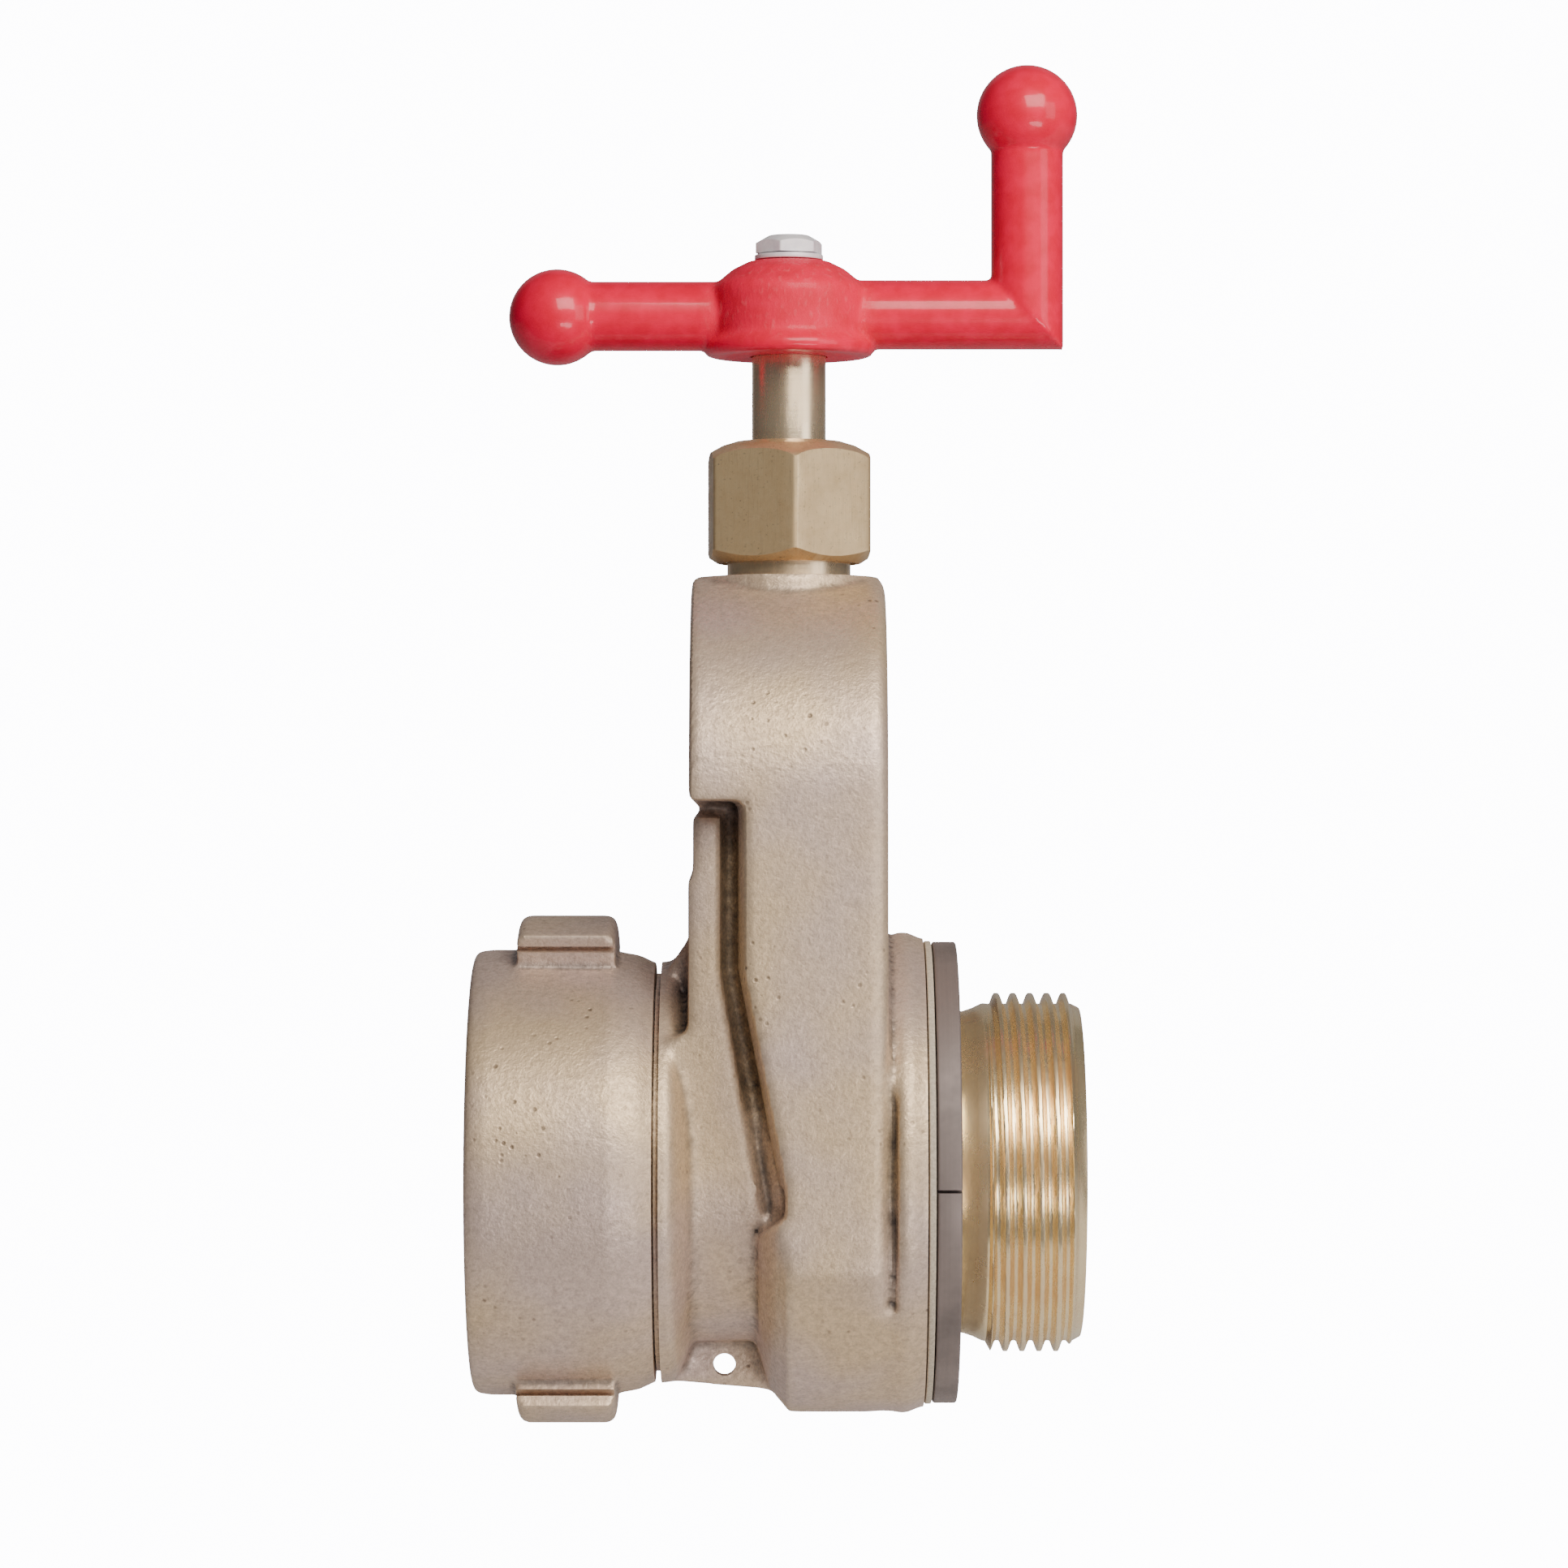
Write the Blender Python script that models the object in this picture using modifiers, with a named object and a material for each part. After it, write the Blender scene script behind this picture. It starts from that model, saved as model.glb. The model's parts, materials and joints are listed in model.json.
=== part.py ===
"""Hydrant gate valve: a rough-cast body with a swivelling female inlet, a male hose outlet and a speed crank.

Frame: the origin is the centre of the inlet's mouth, +X runs along the waterway towards the outlet and +Z up the
stem. Everything below is written in millimetres and turned into metres by MM.
"""

import math

import bmesh
import bpy
from mathutils import Matrix, Vector

MM = 0.001

# ---- Driving dimensions -------------------------------------------------------------------------------------
GAP = 0.3  # between pieces that touch
BORE_R = 31.75  # waterway
THREAD_R = 38.5  # hose thread, over the crests
THREAD_PITCH = 3.63
THREAD_DEPTH = 2.2

# Stations along the waterway.
X_SWIVEL_END = 38.9
X_COLLAR = 39.9  # body's first visible ring
X_BODY_LEFT = 46.7  # left face of the housing
X_STEM = 67.55
X_BODY_RIGHT = 88.7  # right face of the housing
X_RIM_END = 96.3  # right end of the casting
X_RING = 98.3  # lock ring's flange
X_RING_END = 103.4
X_END = 130.0  # outlet's end face

# Housing seen along the waterway.
HOUSING_HALF = 48.0
HOUSING_TOP = 127.9
HOUSING_FOOT_R = 51.4
RIB_HALF = 36.0
CORE_HALF = 30.0
Z_STEP = 79.5  # the housing is full thickness above this
Z_BEND = 44.0  # the side channel's left wall starts to slant here
X_CHANNEL_TOP = 58.3
X_CHANNEL_FOOT = 67.5
WALL = 4.5

# Gate and its screw. The stem's thread is left-handed, so that turning anticlockwise lifts the gate.
GATE_R = 35.6
X_GATE = (76.0, 83.6)
STEM_R = 7.95
STEM_LEAD = 6.35
STEM_FOOT = 38.6

# Handle.
ARM_Z = 184.2
ARM_R = 7.5
GRIP_X = 51.4  # from the stem's axis
GRIP_BALL_Z = 227.8
BALL_X = -50.0

ROUND = 52  # segments of a large turned piece
SMALL = 24  # segments of a small turned piece


# ---- Helpers ------------------------------------------------------------------------------------------------
def clear_scene():
    for obj in list(bpy.data.objects):
        bpy.data.objects.remove(obj)


def new_collection(name):
    made = bpy.data.collections.new(name)
    bpy.context.scene.collection.children.link(made)
    return made


def new_material(name, colour, roughness, metallic):
    made = bpy.data.materials.new(name)
    made.use_nodes = True
    shader = made.node_tree.nodes["Principled BSDF"]
    shader.inputs["Base Color"].default_value = (*colour, 1)
    shader.inputs["Roughness"].default_value = roughness
    shader.inputs["Metallic"].default_value = metallic
    return made


def new_empty(name, location, rotation=(0, 0, 0)):
    empty = bpy.data.objects.new(name, None)
    empty.location = Vector(location) * MM
    empty.rotation_euler = rotation
    valve.objects.link(empty)
    return empty


def add_object(name, mesh, material=None, parent=None):
    """A part if it has a material, or else a helper that only cuts or joins."""
    obj = bpy.data.objects.new(name, mesh)
    obj.parent = parent
    if material:
        mesh.materials.append(material)
        valve.objects.link(obj)
    else:
        obj.hide_render = True
        obj.display_type = "WIRE"
        helpers.objects.link(obj)
    return obj


def finish_mesh(name, bm):
    bmesh.ops.recalc_face_normals(bm, faces=bm.faces)
    bmesh.ops.scale(bm, vec=(MM, MM, MM), verts=bm.verts)
    mesh = bpy.data.meshes.new(name)
    bm.to_mesh(mesh)
    bm.free()
    return mesh


def turned(name, profile, material=None, parent=None, steps=ROUND):
    """A profile of (height, radius) points turned about local Z; a profile that leaves the axis is a closed ring."""
    area = sum(z0 * r1 - z1 * r0 for (z0, r0), (z1, r1) in zip(profile, profile[1:] + profile[:1]))
    points = profile if area > 0 else profile[::-1]
    on_axis = profile[0][1] == 0
    edges = [(i, i + 1) for i in range(len(points) - 1)]
    if not on_axis:
        edges.append((len(points) - 1, 0))
    mesh = bpy.data.meshes.new(name)
    mesh.from_pydata([(r * MM, 0, z * MM) for z, r in points], edges, [])
    obj = add_object(name, mesh, material, parent)
    screw = obj.modifiers.new("turn", "SCREW")
    screw.steps = screw.render_steps = steps
    screw.use_merge_vertices = True
    screw.merge_threshold = 0.0001
    return obj


def rod(name, radius, z0, z1, material=None, parent=None, segments=SMALL, centre=(0, 0)):
    bm = bmesh.new()
    place = Matrix.Translation((centre[0], centre[1], (z0 + z1) / 2))
    bmesh.ops.create_cone(
        bm, cap_ends=True, segments=segments, radius1=radius, radius2=radius, depth=z1 - z0, matrix=place
    )
    return add_object(name, finish_mesh(name, bm), material, parent)


def add_box(bm, x, y, z):
    size = Matrix.Diagonal((x[1] - x[0], y[1] - y[0], z[1] - z[0], 1))
    bmesh.ops.create_cube(bm, size=1, matrix=Matrix.Translation((sum(x) / 2, sum(y) / 2, sum(z) / 2)) @ size)


def box(name, x, y, z, material=None, parent=None):
    bm = bmesh.new()
    add_box(bm, x, y, z)
    return add_object(name, finish_mesh(name, bm), material, parent)


def prism(name, outline, depth, material=None, parent=None, along="X"):
    """A flat outline pushed along X (outline in Y, Z) or along Y (outline in X, Z)."""
    bm = bmesh.new()
    start, end = depth
    place = {"X": lambda a, b: (start, a, b), "Y": lambda a, b: (a, start, b)}[along]
    push = {"X": (end - start, 0, 0), "Y": (0, end - start, 0)}[along]
    face = bm.faces.new([bm.verts.new(place(a, b)) for a, b in outline])
    pushed = bmesh.ops.extrude_face_region(bm, geom=[face])["geom"]
    bmesh.ops.translate(bm, vec=push, verts=[v for v in pushed if isinstance(v, bmesh.types.BMVert)])
    return add_object(name, finish_mesh(name, bm), material, parent)


def thread_ridge(name, root_r, crest_r, pitch, start, turns, hand=1, steps=29, parent=None):
    """One helical ridge with 60 degree flanks, its root buried a little in the wall that it joins."""
    inward = 1 if crest_r > root_r else -1
    buried_r = root_r - 0.25 * inward
    half_root, half_crest = 0.44 * pitch, 0.08 * pitch
    section = [(buried_r, -half_root), (crest_r, -half_crest), (crest_r, half_crest), (buried_r, half_root)]
    bm = bmesh.new()
    face = bm.faces.new([bm.verts.new((r, 0, start + z)) for r, z in section])
    count = round(turns * steps)
    bmesh.ops.spin(
        bm,
        geom=[face, *face.edges, *face.verts],
        axis=(0, 0, 1),
        dvec=(0, 0, pitch / steps),
        angle=hand * math.tau * count / steps,
        steps=count,
    )
    return add_object(name, finish_mesh(name, bm), None, parent)


def combine(target, other, operation):
    step = target.modifiers.new(f"{operation.lower()} {other.name}", "BOOLEAN")
    step.operation = operation
    step.object = other
    return target


def join(target, *others):
    for other in others:
        combine(target, other, "UNION")


def cut(target, *others):
    for other in others:
        combine(target, other, "DIFFERENCE")


def arc(centre, radius, start, end, steps):
    """Points of a circular arc, angles in degrees."""
    angles = [math.radians(start + (end - start) * i / steps) for i in range(steps + 1)]
    return [(centre[0] + radius * math.cos(a), centre[1] + radius * math.sin(a)) for a in angles]


def foot_outline(half, foot_r):
    """Lower part of the housing in Y, Z: a round foot about the waterway that runs into straight sides."""
    foot_angle = math.degrees(math.acos(half / foot_r))
    return arc((0, 0), foot_r, 180 + foot_angle, 360 - foot_angle, 16)


def arch_outline(half, spring, top):
    """Upper part of the housing in Y, Z: an arch cut off below at spring, with straight sides if it is low."""
    rise = spring - (top - half)
    start = math.degrees(math.asin(max(0, rise) / half))
    sides = [(-half, spring), (half, spring)] if rise < 0 else []
    return sides + arc((0, top - half), half, start, 180 - start, 16)


def hexagon(name, across_flats, z0, z1, material, parent, turn=0.0):
    bm = bmesh.new()
    radius = across_flats / 2 / math.cos(math.pi / 6)
    place = Matrix.Translation((0, 0, (z0 + z1) / 2)) @ Matrix.Rotation(math.radians(turn), 4, "Z")
    bmesh.ops.create_cone(
        bm, cap_ends=True, segments=6, radius1=radius, radius2=radius, depth=z1 - z0, matrix=place
    )
    return add_object(name, finish_mesh(name, bm), material, parent)


def ring(name, inner, outer, z0, z1, material, parent, steps=SMALL):
    return turned(name, [(z0, inner), (z1, inner), (z1, outer), (z0, outer)], material, parent, steps)


# ---- Body ---------------------------------------------------------------------------------------------------
def make_body():
    """The casting: a tongue-shaped gate housing, a grooved neck with the swivel's tailpiece, and an open rim."""
    spring = HOUSING_TOP - HOUSING_HALF
    sides = [(HOUSING_HALF, spring), (-HOUSING_HALF, spring)]
    body = prism(
        "body_casting",
        foot_outline(HOUSING_HALF, HOUSING_FOOT_R) + sides,
        (X_CHANNEL_TOP, X_BODY_RIGHT),
        cast_brass,
    )
    slant = [
        (50, Z_BEND),
        (X_CHANNEL_TOP, Z_BEND),
        (X_CHANNEL_FOOT, -1),
        (X_CHANNEL_FOOT, -60),
        (50, -60),
    ]
    cut(body, prism("slant_cutter", slant, (-60, 60), along="Y"))
    tail_r = 39.5
    neck = turned(
        "neck_solid",
        [
            (25.7, 0),
            (25.7, tail_r),
            (31.3, tail_r),
            (31.3, tail_r - 1.7),  # groove for the swivel's wire
            (35.3, tail_r - 1.7),
            (35.3, tail_r),
            (X_COLLAR, tail_r),
            (X_COLLAR, 44.6),
            (40.6, 45.2),
            (43.7, 45.2),
            (44.4, 44.5),
            (46.0, 40.6),
            (48.6, 37.6),
            (51.5, 36.6),
            (71.0, 36.6),
            (71.0, 0),
        ],
        parent=waterway,
    )
    flank = turned(
        "foot_flank",
        [(54, 0), (54, 35), (57, 37), (59.3, 39), (61.4, 42.4), (62.9, 45.6), (68, 50.8), (70, 50.8), (70, 0)],
        parent=waterway,
        steps=43,
    )
    below = box("below_axis", (40, 80), (-60, 60), (-60, 4))
    combine(flank, below, "INTERSECT")
    rim = turned(
        "rim_solid",
        [(88, 0), (88, 50.9), (89, 51.6), (93, 51.6), (95.5, 50.2), (X_RIM_END, 49.8), (X_RIM_END, 0)],
        parent=waterway,
    )
    ear = [(44.0, -20), (44.0, -45.1), (53, -45.6), (62.8, -46.4), (66, -49.5), (69, -51), (69, -20)]
    join(
        body,
        prism("arched_top", arch_outline(HOUSING_HALF, Z_STEP, HOUSING_TOP), (X_BODY_LEFT, X_BODY_RIGHT)),
        box("core_solid", (49, 75), (-CORE_HALF, CORE_HALF), (10, Z_STEP + 5)),
        box("left_rib", (X_BODY_LEFT, 53), (-RIB_HALF, RIB_HALF), (0.2, 77)),
        neck,
        flank,
        rim,
        prism("chain_ear", ear, (-2.5, 2.5), along="Y"),
        rod("top_boss", 19.0, 105, HOUSING_TOP + 0.02, parent=stem_line),
    )
    cut(body, *body_cavities())


def body_cavities():
    inner_top = HOUSING_TOP - 6.9
    half = 42.2
    channel = prism(
        "channel_cavity",
        foot_outline(half, 46.0) + arc((0, inner_top - half), half, 0, 180, 16),
        (X_CHANNEL_TOP + WALL, X_GATE[1] + 0.5),
    )
    slant = [
        (50, Z_BEND - 1),
        (X_CHANNEL_TOP + WALL, Z_BEND - 1),
        (X_CHANNEL_FOOT + WALL, -2),
        (X_CHANNEL_FOOT + WALL, -60),
        (50, -60),
    ]
    cut(channel, prism("channel_slant", slant, (-60, 60), along="Y"))
    cut(channel, turned("port_boss", [(50, 0), (50, 37.2), (72.3, 37.2), (72.3, 0)], parent=waterway))
    return [
        channel,
        prism("top_cavity", arch_outline(41.0, Z_STEP + 4.5, inner_top - 0.4), (X_BODY_LEFT + 4.8, 80)),
        box("core_cavity", (X_BODY_LEFT + 4.8, 80), (-24, 24), (37.4, 90)),
        rod("inlet_bore", BORE_R, 20, 75, parent=waterway, segments=50),
        rod("seat_counterbore", 35.4, 68, 74, parent=waterway, segments=54),
        rod("outlet_opening", 44.5, X_GATE[1], 100, parent=waterway, segments=60),
        rod("stuffing_bore", 15.2, 115, 135, parent=stem_line),
        ear_hole(),
    ]


def ear_hole():
    hole = rod("ear_hole", 2.8, -10, 10, segments=20)
    hole.location = Vector((53.7, 0, -41.3)) * MM
    hole.rotation_euler = (math.pi / 2, 0, 0)
    return hole


# ---- Swivel inlet -------------------------------------------------------------------------------------------
def make_swivel():
    bore = 39.9
    root = THREAD_R + 0.4
    coupling = turned(
        "swivel_coupling",
        [
            (0, 40.2),
            (0, 45.6),
            (1.0, 47.1),
            (3.2, 47.8),
            (30.4, 47.8),
            (35.0, 47.0),
            (38.1, 45.5),
            (X_SWIVEL_END, 44.5),
            (X_SWIVEL_END, bore),
            (35.4, bore),
            (35.4, bore + 1.8),  # groove for the retaining wire
            (31.2, bore + 1.8),
            (31.2, bore),
            (21.3, bore),
            (21.3, root),
            (1.3, root),
        ],
        cast_brass,
        waterway,
    )
    ridge = thread_ridge(
        "female_thread", root, root - THREAD_DEPTH, THREAD_PITCH, 4.0, 4.3, parent=waterway
    )
    lugs = turned(
        "lug_ring",
        [(8.9, 44), (8.9, 52.4), (10.9, 54.4), (28.1, 54.4), (30.1, 52.4), (30.1, 44)],
        parent=waterway,
        steps=47,
    )
    combine(lugs, lug_sectors(), "INTERSECT")
    join(coupling, lugs, ridge)
    cut(coupling, lug_undercuts(), wire_entry())
    ring("swivel_gasket", BORE_R + 0.5, 39.4, 21.7, 25.4, rubber, waterway, ROUND)
    wire = bpy.data.curves.new("swivel_wire", "CURVE")
    wire.dimensions = "3D"
    wire.bevel_depth = 1.5 * MM
    wire.bevel_resolution = 1
    loop = wire.splines.new("POLY")
    turns = 48
    loop.points.add(turns - 1)
    for i, point in enumerate(loop.points):
        angle = math.tau * i / turns
        point.co = (39.7 * MM * math.cos(angle), 39.7 * MM * math.sin(angle), 33.3 * MM, 1)
    loop.use_cyclic_u = True
    wire.materials.append(steel)
    wire_object = bpy.data.objects.new("swivel_wire", wire)
    wire_object.parent = waterway
    valve.objects.link(wire_object)
    make_wire_plug()


def lug_sectors():
    """Two wedges, above and below the waterway, that leave two lugs of the lug ring."""
    half = math.radians(25.5)
    reach = 80
    bm = bmesh.new()
    for side in (1, -1):
        corners = [
            (8, 0, 0),
            (8, -reach * math.tan(half), side * reach),
            (8, reach * math.tan(half), side * reach),
        ]
        face = bm.faces.new([bm.verts.new(c) for c in corners])
        pushed = bmesh.ops.extrude_face_region(bm, geom=[face])["geom"]
        bmesh.ops.translate(bm, vec=(24, 0, 0), verts=[v for v in pushed if isinstance(v, bmesh.types.BMVert)])
    return add_object("lug_sectors", finish_mesh("lug_sectors", bm))


def lug_undercuts():
    """The groove under each lug's crest, along both of its end faces, that a spanner hooks into."""
    bm = bmesh.new()
    for side in (90, 270):
        for end in (-25.9, 25.9):
            angle = math.radians(side + end)
            centre = Vector((19.5, 52.3 * math.cos(angle), 52.3 * math.sin(angle)))
            place = Matrix.Translation(centre) @ Matrix.Rotation(math.pi / 2, 4, "Y")
            bmesh.ops.create_cone(
                bm, cap_ends=True, segments=10, radius1=0.9, radius2=0.9, depth=24, matrix=place
            )
    return add_object("lug_undercuts", finish_mesh("lug_undercuts", bm))


def wire_entry():
    """Hole on the far side through which the retaining wire is fed."""
    hole = rod("wire_entry", 2.9, 40.5, 50, segments=16)
    hole.location = (33.3 * MM, 0, 0)
    hole.rotation_euler = (-math.pi / 2, 0, 0)
    return hole


def make_wire_plug():
    """Headless screw that closes the wire's entry hole, flush with the swivel."""
    plug = rod("wire_plug_screw", 2.6, 42.0, 46.9, steel, segments=16)
    plug.location = (33.3 * MM, 0, 0)
    plug.rotation_euler = (-math.pi / 2, 0, 0)
    slot = box("plug_slot", (-5, 5), (-0.4, 0.4), (45.9, 49), parent=plug)
    cut(plug, slot)


# ---- Outlet -------------------------------------------------------------------------------------------------
def make_outlet():
    shoulder_r = 42.0
    seat_x = X_GATE[1] + GAP
    nipple = turned(
        "outlet_nipple",
        [
            (seat_x + 0.4, 35.4),
            (seat_x + 0.4, shoulder_r),
            (88.6, shoulder_r),
            (88.6, 38.3),
            (X_RING_END - 0.4, 38.3),
            (X_RING_END - 0.4, 35.6),
            (108.5, 36.2),
            (128.4, 36.2),
            (X_END, 35.4),
            (X_END, BORE_R),
            (seat_x + 4.4, BORE_R),
            (seat_x + 4.4, 35.4),
        ],
        machined_brass,
        waterway,
    )
    ridge = thread_ridge(
        "male_thread", 36.2, THREAD_R, THREAD_PITCH, 111.4, 4.3, parent=waterway
    )
    join(nipple, ridge)
    ring("outlet_seat_ring", BORE_R + 0.2, 35.1, seat_x + 0.1, seat_x + 4.1, machined_brass, waterway, ROUND)
    ring("inlet_seat_ring", BORE_R + 0.2, 35.1, 68.3, X_GATE[0] - GAP, machined_brass, waterway, ROUND)
    lock_ring = turned(
        "outlet_lock_ring",
        [
            (88.9, 38.8),
            (88.9, 44.2),
            (X_RING, 44.2),
            (X_RING, 49.0),
            (98.8, 49.5),
            (102.9, 49.5),
            (X_RING_END, 49.0),
            (X_RING_END, 38.8),
        ],
        dark_brass,
        waterway,
    )
    cut(lock_ring, spanner_slots())
    ring("body_gasket", 44.8, 49.4, X_RIM_END + GAP, X_RING - GAP, gasket_fibre, waterway, ROUND)


def spanner_slots():
    """Four narrow slots across the lock ring, a quarter turn apart, the nearest a little below the waterway."""
    bm = bmesh.new()
    for quarter in range(4):
        part = bmesh.new()
        add_box(part, (X_RING - 1, X_RING_END + 1), (-0.45, 0.45), (47.6, 52))
        turn = Matrix.Rotation(math.radians(94 + 90 * quarter), 4, "X")
        bmesh.ops.transform(part, matrix=turn, verts=part.verts)
        piece = bpy.data.meshes.new("slot")
        part.to_mesh(piece)
        part.free()
        bm.from_mesh(piece)
        bpy.data.meshes.remove(piece)
    return add_object("spanner_slots", finish_mesh("spanner_slots", bm))


# ---- Gate and stem ------------------------------------------------------------------------------------------
def make_gate():
    """A round plate with guide ears and, above it, two shelves that carry the stem's nut."""
    gate = rod("gate", GATE_R, *X_GATE, machined_brass, waterway, segments=ROUND)
    left, right = X_GATE
    join(
        gate,
        box("gate_guides", (left + 1.5, right - 1.5), (-40.5, 40.5), (-12, 10)),
        box("gate_web", (left + 2.6, right - 0.4), (-14, 14), (20, 49.4)),
        box("lower_shelf", (55.6, right - 1), (-13.4, 13.4), (38.0, 40.4)),
        box("upper_shelf", (55.6, right - 1), (-13.4, 13.4), (47.0, 49.2)),
    )
    cut(gate, rod("shelf_holes", 8.7, 37, 60, parent=stem_line))
    nut = box("stem_nut", (56.4, left + 2.2), (-12, 12), (40.7, 46.7), machined_brass)
    cut(nut, rod("stem_nut_bore", 8.35, 35, 55, parent=stem_line))


def make_stem():
    square = 11.0
    stem = turned(
        "stem",
        [
            (STEM_FOOT, 0),
            (STEM_FOOT, 5.6),
            (STEM_FOOT + 1, 6.35),
            (116.0, 6.35),
            (117.0, STEM_R),
            (127.6, STEM_R),
            (127.6, 11.3),
            (131.6, 11.3),
            (131.6, STEM_R),
            (176.2, STEM_R),
            (177.0, 7.6),
            (177.0, 0),
        ],
        machined_brass,
        stem_line,
        SMALL,
    )
    join(
        stem,
        thread_ridge("stem_thread", 6.35, STEM_R, STEM_LEAD, 43.0, 11.5, hand=-1, steps=17, parent=stem_line),
        box("stem_square", (-square / 2, square / 2), (-square / 2, square / 2), (170, 191.6), parent=stem_line),
    )
    cut(stem, rod("bolt_socket", 4.1, 172, 195, parent=stem_line, segments=16))


def make_stuffing_box():
    """The screwed-in neck: thrust washer, stem collar and packing sit in it, pressed down by the packing nut."""
    top = HOUSING_TOP
    turned(
        "stuffing_box",
        [
            (121.5, 8.35),
            (121.5, 14.9),
            (top - 0.3, 14.9),
            (top - 0.3, 13.3),
            (top + 3.4, 13.3),
            (top + 3.4, 14.1),
            (150.0, 14.1),
            (150.0, 11.9),
            (125.5, 11.9),
            (125.5, 8.35),
        ],
        machined_brass,
        stem_line,
    )
    ring("thrust_washer", 8.4, 11.5, 125.8, 127.3, steel, stem_line)
    ring("gland_washer", 8.4, 11.5, 131.9, 133.4, steel, stem_line)
    for number in range(3):
        foot = 133.7 + 3.5 * number
        ring(f"packing_ring_{number + 1}", 8.3, 11.6, foot, foot + 3.2, packing, stem_line)
    ring("gland_follower", 8.4, 11.5, 144.2, 152.7, machined_brass, stem_line)
    nut = hexagon("packing_nut", 34.9, 129.4, 157.2, nut_brass, stem_line, turn=4.0)
    chamfer = turned(
        "nut_chamfer",
        [(129.4, 0), (129.4, 15.2), (132.4, 20.6), (152.9, 20.6), (157.2, 12.0), (157.2, 0)],
        parent=stem_line,
    )
    combine(nut, chamfer, "INTERSECT")
    cut(
        nut,
        rod("nut_thread", 14.5, 125, 153.0, parent=stem_line),
        rod("nut_hole", 8.4, 150, 160, parent=stem_line),
    )


# ---- Crank --------------------------------------------------------------------------------------------------
def ball(name, radius, centre):
    bm = bmesh.new()
    bmesh.ops.create_uvsphere(bm, u_segments=20, v_segments=12, radius=radius)
    obj = add_object(name, finish_mesh(name, bm), None, stem_line)
    obj.location = Vector(centre) * MM
    return obj


def bent_arm():
    """The right arm and the upright grip as one bar with a mitred corner, drawn out of a circle."""
    bm = bmesh.new()
    place = Matrix.Translation((6, 0, ARM_Z)) @ Matrix.Rotation(math.pi / 2, 4, "Y")
    bmesh.ops.create_circle(bm, cap_ends=True, segments=24, radius=ARM_R, matrix=place)
    face = bm.faces[:][0]
    stations = [
        lambda p: Vector((GRIP_X - (p.z - ARM_Z), p.y, p.z)),
        lambda p: Vector((p.x, p.y, GRIP_BALL_Z)),
    ]
    for station in stations:
        pushed = bmesh.ops.extrude_face_region(bm, geom=[face])["geom"]
        for vert in (v for v in pushed if isinstance(v, bmesh.types.BMVert)):
            vert.co = station(vert.co)
        bmesh.ops.delete(bm, geom=[face], context="FACES_KEEP_BOUNDARY") if face.is_valid else None
        face = next(f for f in pushed if isinstance(f, bmesh.types.BMFace))
    bmesh.ops.holes_fill(bm, edges=[e for e in bm.edges if e.is_boundary])
    return add_object("bent_arm", finish_mesh("bent_arm", bm), None, stem_line)


def make_crank():
    crank = turned(
        "crank_handle",
        [
            (175.6, 0),
            (175.6, 17.6),
            (176.4, 18.4),
            (178.0, 18.4),
            (179.4, 16.6),
            (188.0, 16.6),
            (191.5, 15.6),
            (194.0, 13.0),
            (195.6, 10.0),
            (196.2, 8.0),
            (196.2, 0),
        ],
        red_paint,
        stem_line,
        40,
    )
    left_arm = rod("left_arm", ARM_R, BALL_X, -6, segments=24)
    left_arm.parent = stem_line
    left_arm.location = (0, 0, ARM_Z * MM)
    left_arm.rotation_euler = (0, math.pi / 2, 0)
    join(crank, left_arm, bent_arm(), ball("left_ball", 10.4, (BALL_X, 0, ARM_Z)))
    join(crank, ball("grip_ball", 10.9, (GRIP_X, 0, GRIP_BALL_Z)))
    half = 5.85
    cut(
        crank,
        box("square_hole", (-half, half), (-half, half), (170, 192.2), parent=stem_line),
        rod("stem_clearance", 8.4, 170, 177.6, parent=stem_line),
        rod("bolt_hole", 4.5, 185, 200, parent=stem_line, segments=16),
    )
    ring("lock_washer", 4.5, 7.4, 196.5, 197.6, steel, stem_line)
    bolt = hexagon("handle_bolt", 13.0, 197.9, 202.6, steel, stem_line, turn=-14.5)
    crown = turned(
        "bolt_crown",
        [(197.9, 0), (197.9, 8.0), (201.2, 8.0), (202.6, 5.2), (202.6, 0)],
        parent=stem_line,
        steps=24,
    )
    combine(bolt, crown, "INTERSECT")
    join(bolt, rod("bolt_shank", 3.7, 176.5, 198.4, parent=stem_line, segments=16))


# ---- Assembly -----------------------------------------------------------------------------------------------
clear_scene()
valve = new_collection("hydrant_gate_valve")
helpers = new_collection("cutters")
helpers.hide_render = True

cast_brass = new_material("cast_brass", (0.52, 0.43, 0.34), 0.55, 0.6)
machined_brass = new_material("machined_brass", (0.85, 0.62, 0.33), 0.22, 1.0)
nut_brass = new_material("nut_brass", (0.50, 0.41, 0.27), 0.40, 0.8)
dark_brass = new_material("dark_brass", (0.20, 0.17, 0.15), 0.45, 0.6)
red_paint = new_material("red_paint", (0.70, 0.02, 0.04), 0.2, 0.0)
steel = new_material("steel", (0.68, 0.68, 0.70), 0.25, 1.0)
rubber = new_material("rubber", (0.03, 0.03, 0.03), 0.7, 0.0)
packing = new_material("packing", (0.09, 0.09, 0.09), 0.8, 0.0)
gasket_fibre = new_material("gasket_fibre", (0.62, 0.55, 0.42), 0.7, 0.0)

# The children of each empty are measured along the waterway, or up the stem.
waterway = new_empty("waterway", (0, 0, 0), (0, math.pi / 2, 0))
stem_line = new_empty("stem_line", (X_STEM, 0, 0))

make_body()
make_swivel()
make_outlet()
make_gate()
make_stem()
make_stuffing_box()
make_crank()
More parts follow.
